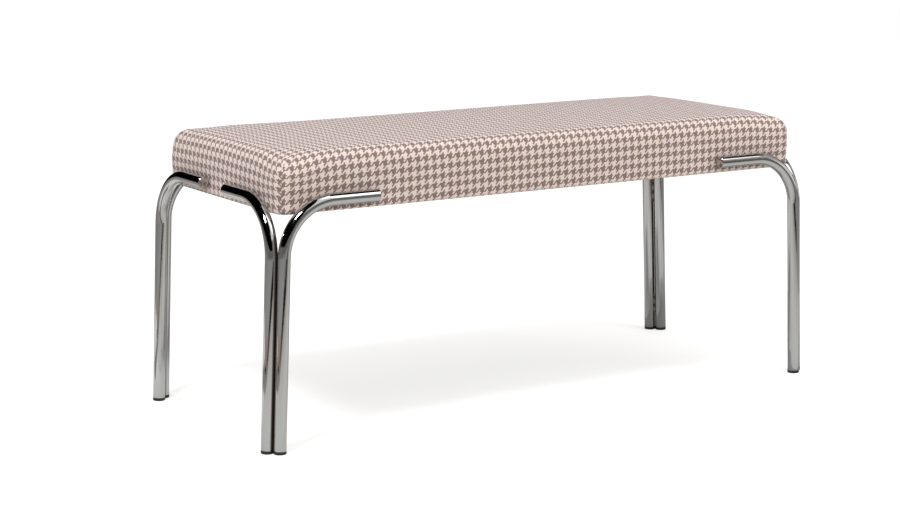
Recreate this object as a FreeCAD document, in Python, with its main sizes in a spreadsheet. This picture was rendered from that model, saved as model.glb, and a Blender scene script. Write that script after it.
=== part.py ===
import FreeCAD, Part
import math
import os

import Sketcher
from FreeCAD import Placement, Rotation, Vector

# Hotel luggage bench: an upholstered slab seat on four pairs of bent chromed tubes.
# Frame: +X along the bench, +Y to the back, +Z up. The origin is on the floor, below
# the middle of the seat. Millimetres.

# --------------------------------------------------------------------------------------
# Driving dimensions. Each row becomes one cell of the sheet: alias, value, meaning.

SIZES = [
    ("seat_length", 1000, "upholstered seat, end face to end face"),
    ("seat_width", 400, "upholstered seat, front face to back face"),
    ("seat_underside", 367, "floor to the bottom of the upholstery"),
    ("seat_side", 90, "seat thickness at its front and back faces, before rounding"),
    ("seat_crown", 4, "rise of the seat's top from those faces to the middle"),
    ("corner_radius", 28, "upright corners of the upholstery"),
    ("shoulder_radius", 26, "top edge of the upholstery"),
    ("fabric", 1.2, "thickness of the cover"),
    ("wadding", 5, "foam between the timber and the cover on the sides"),
    ("hem_width", 26, "cover turned in under the rails"),
    ("dust_inset", 12, "edge of the dust cover, in from the seat's faces"),
    ("dust_cloth", 0.6, "thickness of the dust cover"),
    ("rail_thickness", 22, "timber rails and cross members"),
    ("rail_height", 45, "timber rails and cross members"),
    ("cross_spacing", 330, "between the centres of the two cross members"),
    ("block_leg", 50, "corner block, along each rail"),
    ("block_tip", 6, "blunted tips of a corner block"),
    ("block_height", 38, "corner block"),
    ("deck_thickness", 9, "plywood deck"),
    ("vent_diameter", 25, "air hole in the deck"),
    ("vent_spacing", 180, "between air holes"),
    ("dowel_diameter", 8, "beech dowel"),
    ("dowel_length", 30, "beech dowel"),
    ("dowel_spacing", 22, "between the two dowels of a joint"),
    ("dowel_depth", 12, "dowel hole in the rail's face"),
    ("dowel_bevel", 1, "ends of a dowel"),
    ("tube_diameter", 20, "leg tube, outside"),
    ("tube_wall", 1.5, "leg tube"),
    ("bend_radius", 86, "leg tube's bend, on its centre line"),
    ("arm_height", 387, "floor to the centre line of the arms"),
    ("leg_splay", 2.2, "lean of the legs towards the ends of the bench, in degrees"),
    ("long_arm_reach", 166, "end of the seat to the tip of a long side's arm"),
    ("short_arm_reach", 160, "face of the seat to the tip of a short side's arm"),
    ("pair_gap", 0.4, "clear gap between the two tubes of a pair"),
    ("bead_root", 2.2, "weld bead's inner face, from the plane of the two tubes' axes"),
    ("bead_face", 5.4, "weld bead's outer face, from the same plane"),
    ("low_bead", 34, "floor to the lower weld bead"),
    ("low_bead_length", 34, "lower weld bead"),
    ("high_bead", 250, "floor to the upper weld bead"),
    ("high_bead_length", 38, "upper weld bead"),
    ("weld_fit", 0.05, "room between a weld bead and the tubes that it joins"),
    ("cap_thickness", 1.6, "flat head of an arm's end cap"),
    ("cap_bevel", 0.6, "bright bevel around that head"),
    ("cap_spigot", 12, "end cap inside the tube"),
    ("plug_flange", 5, "foot plug below the tube"),
    ("plug_overhang", 0.15, "foot plug's flange, proud of the tube"),
    ("plug_bevel", 1.2, "foot plug's lower edge"),
    ("sole_trim", 0.5, "foot plug's sole, cut level with the floor on a leaning leg"),
    ("plug_spigot", 16, "foot plug inside the tube"),
    ("plug_wall", 2.4, "foot plug's hollow spigot"),
    ("push_fit", 0.05, "room between a plug or cap and the tube's bore"),
    ("bolt_inset", 20, "tip of an arm to its first bolt"),
    ("bolt_spacing", 38, "between the two bolts of an arm"),
    ("bolt_diameter", 6, "bolt"),
    ("bolt_clearance", 0.5, "room around a bolt in timber and fabric"),
    ("bolt_head_height", 3.3, "button head"),
    ("bolt_head_diameter", 10.5, "button head"),
    ("bolt_bite", 9, "bolt beyond the seat's face, in its insert"),
    ("washer_diameter", 18, "washer"),
    ("washer_thickness", 1.6, "washer"),
    ("insert_diameter", 9, "threaded insert, through the tube's wall"),
    ("insert_length", 12, "threaded insert"),
    ("insert_setback", 0.2, "threaded insert's mouth, behind the seat's face"),
    ("insert_collar", 10.8, "threaded insert, where it is upset behind the wall"),
]

doc = FreeCAD.newDocument("luggage_bench")
sheet = doc.addObject("Spreadsheet::Sheet", "Sizes")
for row, (alias, number, meaning) in enumerate(SIZES, start=1):
    sheet.set(f"A{row}", alias)
    sheet.set(f"B{row}", str(number))
    sheet.set(f"C{row}", meaning)
    sheet.setAlias(f"B{row}", alias)
doc.recompute()

# --------------------------------------------------------------------------------------
# Places that several pieces share, as expressions on the sheet.

HALF_LENGTH = "Sizes.seat_length / 2"
HALF_WIDTH = "Sizes.seat_width / 2"
TUBE_RADIUS = "Sizes.tube_diameter / 2"
BORE_RADIUS = f"({TUBE_RADIUS} - Sizes.tube_wall)"

# The two legs of a pair stand side by side on the corner's diagonal. A long side's tube
# lies along the front or back face, a short side's along the left or right face.
PAIR_STEP = "(Sizes.tube_diameter + Sizes.pair_gap) / sqrt(2)"
OUTER_X = f"({HALF_LENGTH} + {TUBE_RADIUS})"
OUTER_Y = f"({HALF_WIDTH} + {TUBE_RADIUS})"
INNER_X = f"({OUTER_X} - {PAIR_STEP})"
INNER_Y = f"({OUTER_Y} - {PAIR_STEP})"

# Both legs of a pair lean outwards along X. Their axes meet the arms' height at the
# places above and the floor this much further out.
SPLAY_SLOPE = "tan(Sizes.leg_splay)"
FOOT_OUT = f"(Sizes.arm_height * {SPLAY_SLOPE})"

# The timber stands inside the cover and the wadding, on the cover's turned-in hem.
PADDING = "(Sizes.fabric + Sizes.wadding)"
TIMBER_X = f"({HALF_LENGTH} - {PADDING})"
TIMBER_Y = f"({HALF_WIDTH} - {PADDING})"
TIMBER_RADIUS = f"(Sizes.corner_radius - {PADDING})"
TIMBER_LOW = "(Sizes.seat_underside + Sizes.fabric)"
TIMBER_TOP = f"({TIMBER_LOW} + Sizes.rail_height)"
RAIL_INSIDE_X = f"({TIMBER_X} - Sizes.rail_thickness)"
RAIL_INSIDE_Y = f"({TIMBER_Y} - Sizes.rail_thickness)"
END_RAIL_X = f"({TIMBER_X} - Sizes.rail_thickness / 2)"
CROSS_X = "(Sizes.cross_spacing / 2)"
DOWEL_Z = f"({TIMBER_LOW} + Sizes.rail_height / 2)"

# The first bolt of a long side's arm, along X, and of a short side's arm, along Y.
LONG_BOLT = f"({HALF_LENGTH} - Sizes.long_arm_reach + Sizes.bolt_inset)"
SHORT_BOLT = f"({HALF_WIDTH} - Sizes.short_arm_reach + Sizes.bolt_inset)"
BOLT_HOLE = "Sizes.bolt_diameter + 2 * Sizes.bolt_clearance"

# Closer than this, two places of a shape are the same place.
SAME = 0.01

UP = Vector(0, 0, 1)
CORNERS = [
    ("front_left", -1, -1),
    ("front_right", 1, -1),
    ("back_left", -1, 1),
    ("back_right", 1, 1),
]


def value(expression):
    """Work an expression out with the sheet's numbers."""
    return float(sheet.evalExpression(expression))


# --------------------------------------------------------------------------------------
# Bodies and sketches.


def new_body(label):
    """Start a body whose label names its file."""
    body = doc.addObject("PartDesign::Body", label)
    body.Label = label
    return body


def place(body, x, y, turn=0, lean=0):
    """Stand a body at (x, y) on the floor, turned about Z and then leaned about Y."""
    turned = Rotation(Vector(0, 1, 0), lean) * Rotation(UP, turn)
    body.Placement = Placement(Vector(value(x), value(y), 0), turned)
    body.setExpression("Placement.Base.x", x)
    body.setExpression("Placement.Base.y", y)


def origin_of(body, role):
    """Find one of the body's own origin planes or axes."""
    return next(item for item in body.Origin.OriginFeatures if item.Role == role)


def sketch_on(body, plane, name, offset=("0", "0", "0"), turn=0):
    """Attach a sketch to an origin plane, moved by three expressions and turned in it."""
    sketch = body.newObject("Sketcher::SketchObject", name)
    sketch.AttachmentSupport = [(origin_of(body, plane), "")]
    sketch.MapMode = "FlatFace"
    base = Vector(*(value(part) for part in offset))
    sketch.AttachmentOffset = Placement(base, Rotation(UP, turn))
    for axis, part in zip("xyz", offset):
        if part != "0":
            sketch.setExpression(f"AttachmentOffset.Base.{axis}", part)
    return sketch


def lean_sketch(sketch, axis):
    """Lean a sketch by the legs' splay about an axis of its own plane."""
    base = sketch.AttachmentOffset.Base
    sketch.AttachmentOffset = Placement(base, Rotation(axis, value("Sizes.leg_splay")))
    sketch.setExpression("AttachmentOffset.Rotation.Angle", "Sizes.leg_splay")


def bind(sketch, constraint, expression):
    """Add a constraint that holds a size and bind it to an expression."""
    index = sketch.addConstraint(constraint)
    sketch.setExpression(f"Constraints[{index}]", expression)


def pin(sketch, geometry, point, x, y):
    """Hold a point of the sketch at two expressions, or on an axis where one is zero."""
    for kind, axis, part in (("DistanceX", -2, x), ("DistanceY", -1, y)):
        if part == "0":
            sketch.addConstraint(Sketcher.Constraint("PointOnObject", geometry, point, axis))
        else:
            distance = Sketcher.Constraint(kind, -1, 1, geometry, point, value(part))
            bind(sketch, distance, part)


def outline(sketch, corners):
    """Draw a closed outline of straight lines through corners given as expressions."""
    points = [Vector(value(x), value(y), 0) for x, y in corners]
    lines = [
        sketch.addGeometry(Part.LineSegment(start, end))
        for start, end in zip(points, points[1:] + points[:1])
    ]
    for line, following in zip(lines, lines[1:] + lines[:1]):
        sketch.addConstraint(Sketcher.Constraint("Coincident", line, 2, following, 1))
    for line, (x, y) in zip(lines, corners):
        pin(sketch, line, 1, x, y)


def circle(sketch, x, y, diameter):
    """Draw a circle about a point given as expressions."""
    centre = Vector(value(x), value(y), 0)
    ring = sketch.addGeometry(Part.Circle(centre, UP, value(diameter) / 2))
    pin(sketch, ring, 3, x, y)
    bind(sketch, Sketcher.Constraint("Diameter", ring, value(diameter)), diameter)


def rounded_rectangle(sketch, half_x, half_y, radius):
    """Draw a rectangle about the origin with four equal round corners."""
    wide, deep, round_ = value(half_x), value(half_y), value(radius)
    arcs = []
    for quarter, (side_x, side_y) in enumerate(((1, 1), (-1, 1), (-1, -1), (1, -1))):
        centre = Vector(side_x * (wide - round_), side_y * (deep - round_), 0)
        start = quarter * math.pi / 2
        ring = Part.Circle(centre, UP, round_)
        arcs.append(sketch.addGeometry(Part.ArcOfCircle(ring, start, start + math.pi / 2)))
    lines = []
    for arc, following in zip(arcs, arcs[1:] + arcs[:1]):
        start = sketch.Geometry[arc].EndPoint
        end = sketch.Geometry[following].StartPoint
        line = sketch.addGeometry(Part.LineSegment(start, end))
        sketch.addConstraint(Sketcher.Constraint("Tangent", arc, 2, line, 1))
        sketch.addConstraint(Sketcher.Constraint("Tangent", line, 2, following, 1))
        lines.append(line)
    back, left, front, right = lines
    for line in (back, front):
        sketch.addConstraint(Sketcher.Constraint("Horizontal", line))
    for line in (left, right):
        sketch.addConstraint(Sketcher.Constraint("Vertical", line))
    for arc in arcs[1:]:
        sketch.addConstraint(Sketcher.Constraint("Equal", arcs[0], arc))
    sketch.addConstraint(Sketcher.Constraint("Symmetric", arcs[0], 3, arcs[2], 3, -1, 1))
    bind(sketch, Sketcher.Constraint("Radius", arcs[0], round_), radius)
    bind(sketch, Sketcher.Constraint("DistanceX", left, 1, right, 1, 2 * wide), f"2 * {half_x}")
    bind(sketch, Sketcher.Constraint("DistanceY", front, 1, back, 1, 2 * deep), f"2 * {half_y}")


# --------------------------------------------------------------------------------------
# Features.


def pad(body, sketch, length, both_ways=False):
    """Thicken a sketch along its normal."""
    feature = body.newObject("PartDesign::Pad", "Pad")
    feature.Profile = sketch
    feature.Midplane = both_ways
    feature.setExpression("Length", length)
    doc.recompute()
    return feature


def cut(body, sketch, length, along_normal=False, both_ways=False):
    """Cut a sketch's shape out of the body, and make sure that it did cut."""
    before = body.Shape.Volume
    feature = body.newObject("PartDesign::Pocket", "Pocket")
    feature.Profile = sketch
    feature.Midplane = both_ways
    feature.Reversed = along_normal
    feature.setExpression("Length", length)
    doc.recompute()
    if feature.Shape.Volume >= before:
        raise RuntimeError(f"{body.Label}: the cut of {sketch.Name} removes nothing")
    return feature


def turn_profile(body, sketch, axis):
    """Turn a sketch right round one of its own axes."""
    feature = body.newObject("PartDesign::Revolution", "Revolution")
    feature.Profile = sketch
    feature.ReferenceAxis = (sketch, [axis])
    feature.Angle = 360
    doc.recompute()
    return feature


def fillet(body, radius, wanted):
    """Round the edges of the body for which wanted(edge) is true."""
    base = body.Tip
    edges = [f"Edge{n}" for n, edge in enumerate(base.Shape.Edges, start=1) if wanted(edge)]
    feature = body.newObject("PartDesign::Fillet", "Fillet")
    feature.Base = (base, edges)
    feature.setExpression("Radius", radius)
    doc.recompute()
    return feature


def row_of(body, axis, spacing, count):
    """A row of copies along an origin axis, as a step of a pattern."""
    row = body.newObject("PartDesign::LinearPattern", "Row")
    row.Direction = (origin_of(body, axis), [""])
    row.Occurrences = count
    row.Length = value(spacing) * (count - 1)
    row.setExpression("Length", f"{spacing} * {count - 1}")
    return row


def mirror_in(body, plane):
    """A mirror image in an origin plane, as a step of a pattern."""
    mirror = body.newObject("PartDesign::Mirrored", "Mirror")
    mirror.MirrorPlane = (origin_of(body, plane), [""])
    return mirror


def repeat(body, feature, steps):
    """Repeat a feature through the steps of a pattern, each on what the last one gave."""
    pattern = body.newObject("PartDesign::MultiTransform", "Repeat")
    pattern.Originals = [feature]
    pattern.Transformations = steps
    body.Tip = pattern
    doc.recompute()


def in_all_corners(body, feature, *rows):
    """Repeat a feature along its rows, then into the other three quarters."""
    steps = list(rows) + [mirror_in(body, "YZ_Plane"), mirror_in(body, "XZ_Plane")]
    repeat(body, feature, steps)


def is_upright(edge):
    """True for a straight vertical edge."""
    start, end = edge.Vertexes[0].Point, edge.Vertexes[-1].Point
    return abs(start.x - end.x) < SAME and abs(start.y - end.y) < SAME


# --------------------------------------------------------------------------------------
# Legs: bent tube, weld beads between the two tubes of a pair, plugs and end caps.


def leg_tube(label, arm_reach, seat_side, flares, x, y, turn):
    """One bent tube: a leg, a bend and a level arm along a face of the seat.

    In its own frame the arm leaves along X and its corner, where the axes of leg and arm
    meet, is above the origin. seat_side is +1 where the seat lies on the arm's +Y side,
    -1 on the other. A tube that flares is bent by less than a quarter turn, so that its
    leg leans back under the corner. Any other leg leans away from the seat, because the
    whole bend is tipped about the arm. The two holes for the threaded inserts go through
    the arm's inner wall only.
    """
    body = new_body(label)
    tip = f"({arm_reach} + {TUBE_RADIUS} - {PAIR_STEP})"
    tube_end = f"({tip} - Sizes.cap_thickness)"

    # The section stands on the arm's end, which is square to X on every tube.
    section = sketch_on(body, "YZ_Plane", "TubeSection", ("0", "Sizes.arm_height", tube_end))
    circle(section, "0", "0", "Sizes.tube_diameter")
    circle(section, "0", "0", "Sizes.tube_diameter - 2 * Sizes.tube_wall")

    # The path's own origin is the corner. The leg's length is along its slope.
    path = sketch_on(body, "XZ_Plane", "CentreLine", ("0", "Sizes.arm_height", "0"))
    splay = value("Sizes.leg_splay")
    drop = "(Sizes.arm_height - Sizes.plug_flange)"
    if flares:
        foot = (f"-1 * {drop} * {SPLAY_SLOPE}", f"-1 * {drop}")
        turn_angle = math.radians(90 - splay)
    else:
        foot = ("0", f"-1 * {drop} / cos(Sizes.leg_splay)")
        turn_angle = math.radians(90)
        lean_sketch(path, Vector(-seat_side, 0, 0))
    bend = value("Sizes.bend_radius")
    tangent = bend * math.tan(turn_angle / 2)
    ring = Part.Circle(Vector(tangent, -bend, 0), UP, bend)
    bent = Part.ArcOfCircle(ring, math.pi / 2, math.pi / 2 + turn_angle)
    arm = path.addGeometry(Part.LineSegment(Vector(value(tube_end), 0, 0), bent.StartPoint))
    arc = path.addGeometry(bent)
    foot_point = Vector(value(foot[0]), value(foot[1]), 0)
    leg = path.addGeometry(Part.LineSegment(bent.EndPoint, foot_point))
    path.addConstraint(Sketcher.Constraint("Tangent", arm, 2, arc, 1))
    path.addConstraint(Sketcher.Constraint("Tangent", arc, 2, leg, 1))
    path.addConstraint(Sketcher.Constraint("Horizontal", arm))
    pin(path, arm, 1, tube_end, "0")
    pin(path, leg, 2, *foot)
    bind(path, Sketcher.Constraint("Radius", arc, bend), "Sizes.bend_radius")
    # The leg's line points at the corner, so the bend's place along the arm follows.
    path.addConstraint(Sketcher.Constraint("PointOnObject", -1, 1, leg))

    pipe = body.newObject("PartDesign::AdditivePipe", "BentTube")
    pipe.Profile = section
    pipe.Spine = path
    doc.recompute()

    holes = sketch_on(body, "XZ_Plane", "InsertHoles")
    first = f"({tip} - Sizes.bolt_inset)"
    circle(holes, first, "Sizes.arm_height", "Sizes.insert_diameter")
    circle(holes, f"({first} - Sizes.bolt_spacing)", "Sizes.arm_height", "Sizes.insert_diameter")
    cut(body, holes, "Sizes.tube_diameter", along_normal=seat_side < 0)

    place(body, x, y, turn)
    return body


def leg_tubes():
    """Two tubes at each corner: one along the long side, one along the short side."""
    bodies = []
    for corner, side_x, side_y in CORNERS:
        mirrored = side_x * side_y
        bodies.append(leg_tube(
            f"leg_{corner}_long_side", "Sizes.long_arm_reach", mirrored, True,
            f"{side_x} * {INNER_X}", f"{side_y} * {OUTER_Y}", 90 + 90 * side_x,
        ))
        bodies.append(leg_tube(
            f"leg_{corner}_short_side", "Sizes.short_arm_reach", -mirrored, False,
            f"{side_x} * {OUTER_X}", f"{side_y} * {INNER_Y}", -90 * side_y,
        ))
    return bodies


def weld_bead(label, low, length, side_x, side_y):
    """A weld bead in the groove between the two tubes of a pair, on the side of the seat.

    In its own frame the tubes' centres lie on X, at equal distances each side, and the
    bead lies at Y above 0. Its sides are hollowed to hug the tubes.
    """
    body = new_body(label)
    section = sketch_on(body, "XY_Plane", "BeadSection", ("0", "0", low))
    centre = f"({TUBE_RADIUS} + Sizes.pair_gap / 2)"
    radius = f"({TUBE_RADIUS} + Sizes.weld_fit)"
    root = math.asin(value("Sizes.bead_root") / value(radius))
    face = math.asin(value("Sizes.bead_face") / value(radius))
    arcs = []
    for side, start, end in ((1, math.pi - face, math.pi - root), (-1, root, face)):
        ring = Part.Circle(Vector(side * value(centre), 0, 0), UP, value(radius))
        arc = section.addGeometry(Part.ArcOfCircle(ring, start, end))
        pin(section, arc, 3, f"{side} * {centre}", "0")
        bind(section, Sketcher.Constraint("Radius", arc, value(radius)), radius)
        arcs.append(arc)
    right, left = arcs
    # An arc runs anticlockwise: the right one from the bead's face to its root.
    for start, end, height in ((1, 2, "Sizes.bead_face"), (2, 1, "Sizes.bead_root")):
        line = section.addGeometry(Part.LineSegment(
            section.getPoint(right, start), section.getPoint(left, end)))
        section.addConstraint(Sketcher.Constraint("Coincident", line, 1, right, start))
        section.addConstraint(Sketcher.Constraint("Coincident", line, 2, left, end))
        section.addConstraint(Sketcher.Constraint("Horizontal", line))
        bind(section, Sketcher.Constraint("DistanceY", -1, 1, line, 1, value(height)), height)
    pad(body, section, length)
    place(
        body,
        f"{side_x} * (({OUTER_X} + {INNER_X}) / 2 + {FOOT_OUT})",
        f"{side_y} * ({OUTER_Y} + {INNER_Y}) / 2",
        turn=-45 * side_x * side_y + 90 * (1 + side_y),
        lean=-side_x * value("Sizes.leg_splay"),
    )
    return body


def weld_beads():
    """A lower and an upper weld bead at each corner."""
    bodies = []
    for corner, side_x, side_y in CORNERS:
        bodies.append(weld_bead(
            f"weld_bead_{corner}_lower", "Sizes.low_bead", "Sizes.low_bead_length",
            side_x, side_y))
        bodies.append(weld_bead(
            f"weld_bead_{corner}_upper", "Sizes.high_bead", "Sizes.high_bead_length",
            side_x, side_y))
    return bodies


def foot_plugs():
    """Push-in plugs: a flange below each tube and a hollow spigot in its bore.

    Each is turned about its leaning leg's axis, and its sole is cut level with the floor.
    """
    body = new_body("foot_plugs")
    flange = f"({TUBE_RADIUS} + Sizes.plug_overhang)"
    spigot = f"({BORE_RADIUS} - Sizes.push_fit)"
    # Heights along the leg's axis, from where it meets the floor.
    sole = "(-1 * Sizes.sole_trim)"
    seat = "(Sizes.plug_flange / cos(Sizes.leg_splay))"
    top = f"({seat} + Sizes.plug_spigot)"
    profile = [
        ("0", sole),
        (f"{flange} - Sizes.plug_bevel", sole),
        (flange, f"{sole} + Sizes.plug_bevel"),
        (flange, seat),
        (spigot, seat),
        (spigot, f"{top} - Sizes.plug_bevel"),
        (f"{spigot} - Sizes.plug_bevel", top),
        (f"{spigot} - Sizes.plug_wall", top),
        (f"{spigot} - Sizes.plug_wall", f"{seat} + Sizes.plug_wall"),
        ("0", f"{seat} + Sizes.plug_wall"),
    ]
    for x, y in ((INNER_X, OUTER_Y), (OUTER_X, INNER_Y)):
        centre = (f"{x} + {FOOT_OUT}", "0", f"-1 * {y}")
        sketch = sketch_on(body, "XZ_Plane", "PlugProfile", centre)
        lean_sketch(sketch, UP)
        outline(sketch, profile)
        in_all_corners(body, turn_profile(body, sketch, "V_Axis"))
    floor = sketch_on(body, "XY_Plane", "BelowTheFloor")
    reach_x, reach_y = "Sizes.seat_length", "Sizes.seat_width"
    outline(floor, [
        (f"-1 * {reach_x}", f"-1 * {reach_y}"), (reach_x, f"-1 * {reach_y}"),
        (reach_x, reach_y), (f"-1 * {reach_x}", reach_y),
    ])
    cut(body, floor, "Sizes.plug_flange")
    return body


# Where the pieces on an arm's tip or bolts are turned: the arm's axis or the bolt's axis
# through a point of the quarter with x and y above 0, and the row that repeats a bolt.
# A profile's own X points along the axis, away from the seat's middle.


def arm_pieces(label, profile, long_origin, short_origin, long_turn, short_turn, rows):
    """Turn one profile for the long sides' arms and for the short sides' arms."""
    body = new_body(label)
    sides = ((long_origin, long_turn, "X_Axis"), (short_origin, short_turn, "Y_Axis"))
    for (x, y), turn, axis in sides:
        sketch = sketch_on(body, "XY_Plane", "Profile", (x, y, "Sizes.arm_height"), turn)
        outline(sketch, profile)
        piece = turn_profile(body, sketch, "H_Axis")
        steps = [row_of(body, axis, "Sizes.bolt_spacing", 2)] if rows else []
        in_all_corners(body, piece, *steps)
    return body


def arm_end_caps():
    """Flat bevelled heads that close the arms, each on a spigot in the tube's bore."""
    edge = f"{TUBE_RADIUS}"
    spigot = f"({BORE_RADIUS} - Sizes.push_fit)"
    deep = "(Sizes.cap_thickness + Sizes.cap_spigot)"
    profile = [
        ("0", "0"),
        ("0", f"{edge} - Sizes.cap_bevel"),
        ("Sizes.cap_bevel", edge),
        ("Sizes.cap_thickness", edge),
        ("Sizes.cap_thickness", spigot),
        (deep, spigot),
        (deep, "0"),
    ]
    long_tip = (f"({HALF_LENGTH} - Sizes.long_arm_reach)", OUTER_Y)
    short_tip = (OUTER_X, f"({HALF_WIDTH} - Sizes.short_arm_reach)")
    return arm_pieces("arm_end_caps", profile, long_tip, short_tip, 0, 90, rows=False)


def arm_inserts():
    """Threaded inserts in the arms' walls, upset into a collar behind the wall."""
    bore = "(Sizes.bolt_diameter / 2)"
    sleeve = "(Sizes.insert_diameter / 2 - Sizes.push_fit)"
    collar = "(Sizes.insert_collar / 2)"
    # A flat collar meets the tube's round bore only this far behind the seat's face.
    behind = f"({TUBE_RADIUS} - sqrt({BORE_RADIUS}^2 - {collar}^2) + Sizes.push_fit)"
    profile = [
        ("Sizes.insert_setback", bore),
        ("Sizes.insert_setback", sleeve),
        (behind, sleeve),
        (behind, collar),
        (f"{behind} + Sizes.washer_thickness", collar),
        (f"{behind} + 2 * Sizes.washer_thickness", sleeve),
        ("Sizes.insert_length", sleeve),
        ("Sizes.insert_length", bore),
    ]
    long_face, short_face = (LONG_BOLT, HALF_WIDTH), (HALF_LENGTH, SHORT_BOLT)
    return arm_pieces("arm_inserts", profile, long_face, short_face, 90, 0, rows=True)


def arm_washers():
    """Washers between the bolts' heads and the inside of the rails."""
    hole = "(Sizes.bolt_diameter / 2 + Sizes.bolt_clearance / 2)"
    edge = "(Sizes.washer_diameter / 2)"
    profile = [
        ("0", hole),
        ("0", edge),
        ("Sizes.washer_thickness", edge),
        ("Sizes.washer_thickness", hole),
    ]
    long_face = (LONG_BOLT, f"({RAIL_INSIDE_Y} - Sizes.washer_thickness)")
    short_face = (f"({RAIL_INSIDE_X} - Sizes.washer_thickness)", SHORT_BOLT)
    return arm_pieces("arm_washers", profile, long_face, short_face, 90, 0, rows=True)


def arm_bolts():
    """Button-head bolts, from inside the rails through the padding into the inserts."""
    head = "(Sizes.bolt_head_diameter / 2)"
    shank = "(Sizes.bolt_diameter / 2 - Sizes.push_fit)"
    stack = "(Sizes.bolt_head_height + Sizes.washer_thickness)"
    end = f"({stack} + Sizes.rail_thickness + {PADDING} + Sizes.bolt_bite)"
    profile = [
        ("0", "0"),
        ("0", f"{head} / 2"),
        ("Sizes.bolt_head_height * 2 / 3", head),
        ("Sizes.bolt_head_height", head),
        ("Sizes.bolt_head_height", shank),
        (end, shank),
        (end, "0"),
    ]
    long_head = (LONG_BOLT, f"({RAIL_INSIDE_Y} - {stack})")
    short_head = (f"({RAIL_INSIDE_X} - {stack})", SHORT_BOLT)
    return arm_pieces("arm_bolts", profile, long_head, short_head, 90, 0, rows=True)


# --------------------------------------------------------------------------------------
# Timber: rails, cross members, corner blocks, dowels and deck.


def bolt_holes(body, diameter, long_sides=True, short_sides=True):
    """Drill the arms' bolt holes through whatever of the body lies on their axes."""
    drills = (
        (long_sides, "XZ_Plane", LONG_BOLT, "Sizes.seat_width"),
        (short_sides, "YZ_Plane", SHORT_BOLT, "Sizes.seat_length"),
    )
    for wanted, plane, first, through in drills:
        if not wanted:
            continue
        sketch = sketch_on(body, plane, "BoltHoles")
        for side in (-1, 1):
            for place_along in (first, f"({first} + Sizes.bolt_spacing)"):
                circle(sketch, f"{side} * {place_along}", "Sizes.arm_height", diameter)
        cut(body, sketch, through, both_ways=True)


def dowel_heights():
    """The two heights of a joint's dowels."""
    return [f"({DOWEL_Z} + {side} * Sizes.dowel_spacing / 2)" for side in (-1, 1)]


def long_rail(label, turn):
    """Front or back rail: full length, rounded outer corners, dowel and bolt holes."""
    body = new_body(label)
    plan = sketch_on(body, "XY_Plane", "RailPlan", ("0", "0", TIMBER_LOW))
    ends = (f"-1 * {TIMBER_X}", TIMBER_X)
    near, far = RAIL_INSIDE_Y, TIMBER_Y
    outline(plan, [(ends[0], near), (ends[1], near), (ends[1], far), (ends[0], far)])
    pad(body, plan, "Sizes.rail_height")
    middle = value(f"({near} + {far}) / 2")
    fillet(body, TIMBER_RADIUS, lambda edge: is_upright(edge) and edge.BoundBox.YMin > middle)
    bolt_holes(body, BOLT_HOLE, short_sides=False)

    inside = ("0", "0", f"-1 * {RAIL_INSIDE_Y}")
    sketch = sketch_on(body, "XZ_Plane", "DowelHoles", inside)
    for side in (-1, 1):
        for along in (END_RAIL_X, CROSS_X):
            for height in dowel_heights():
                circle(sketch, f"{side} * {along}", height, "Sizes.dowel_diameter")
    cut(body, sketch, "Sizes.dowel_depth")
    place(body, "0", "0", turn)
    return body


def between_rails(label, x, turn=0, bolted=False):
    """An end rail or cross member between the long rails, drilled for their dowels."""
    body = new_body(label)
    plan = sketch_on(body, "XY_Plane", "RailPlan", ("0", "0", TIMBER_LOW))
    near, far = f"({x} - Sizes.rail_thickness / 2)", f"({x} + Sizes.rail_thickness / 2)"
    front, back = f"-1 * {RAIL_INSIDE_Y}", RAIL_INSIDE_Y
    outline(plan, [(near, front), (far, front), (far, back), (near, back)])
    pad(body, plan, "Sizes.rail_height")
    if bolted:
        bolt_holes(body, BOLT_HOLE, long_sides=False)
    hole_depth = "(Sizes.dowel_length - Sizes.dowel_depth)"
    for side, along_normal in ((-1, False), (1, True)):
        end_face = ("0", "0", f"{side} * {RAIL_INSIDE_Y}")
        sketch = sketch_on(body, "XZ_Plane", "DowelHoles", end_face)
        for height in dowel_heights():
            circle(sketch, x, height, "Sizes.dowel_diameter")
        cut(body, sketch, hole_depth, along_normal=not along_normal)
    place(body, "0", "0", turn)
    return body


def frame_dowels():
    """Two dowels at each end of the end rails and cross members."""
    body = new_body("frame_dowels")
    inner_end = f"({RAIL_INSIDE_Y} - (Sizes.dowel_length - Sizes.dowel_depth))"
    radius = "(Sizes.dowel_diameter / 2)"
    bevel = "Sizes.dowel_bevel"
    profile = [
        ("0", "0"),
        ("0", f"{radius} - {bevel}"),
        (bevel, radius),
        (f"Sizes.dowel_length - {bevel}", radius),
        ("Sizes.dowel_length", f"{radius} - {bevel}"),
        ("Sizes.dowel_length", "0"),
    ]
    for along in (END_RAIL_X, CROSS_X):
        low = dowel_heights()[0]
        sketch = sketch_on(body, "XY_Plane", "DowelProfile", (along, inner_end, low), 90)
        outline(sketch, profile)
        dowel = turn_profile(body, sketch, "H_Axis")
        in_all_corners(body, dowel, row_of(body, "Z_Axis", "Sizes.dowel_spacing", 2))
    return body


def corner_block(corner, side_x, side_y):
    """A glued block that stiffens a corner, with blunted tips, flush with the rails' top."""
    body = new_body(f"corner_block_{corner}")
    low = f"({TIMBER_TOP} - Sizes.block_height)"
    plan = sketch_on(body, "XY_Plane", "BlockPlan", ("0", "0", low))
    leg, tip = "-1 * Sizes.block_leg", "-1 * Sizes.block_tip"
    outline(plan, [("0", "0"), (leg, "0"), (leg, tip), (tip, leg), ("0", leg)])
    pad(body, plan, "Sizes.block_height")
    turn = {(1, 1): 0, (-1, 1): 90, (-1, -1): 180, (1, -1): 270}[(side_x, side_y)]
    place(body, f"{side_x} * {RAIL_INSIDE_X}", f"{side_y} * {RAIL_INSIDE_Y}", turn)
    return body


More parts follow.
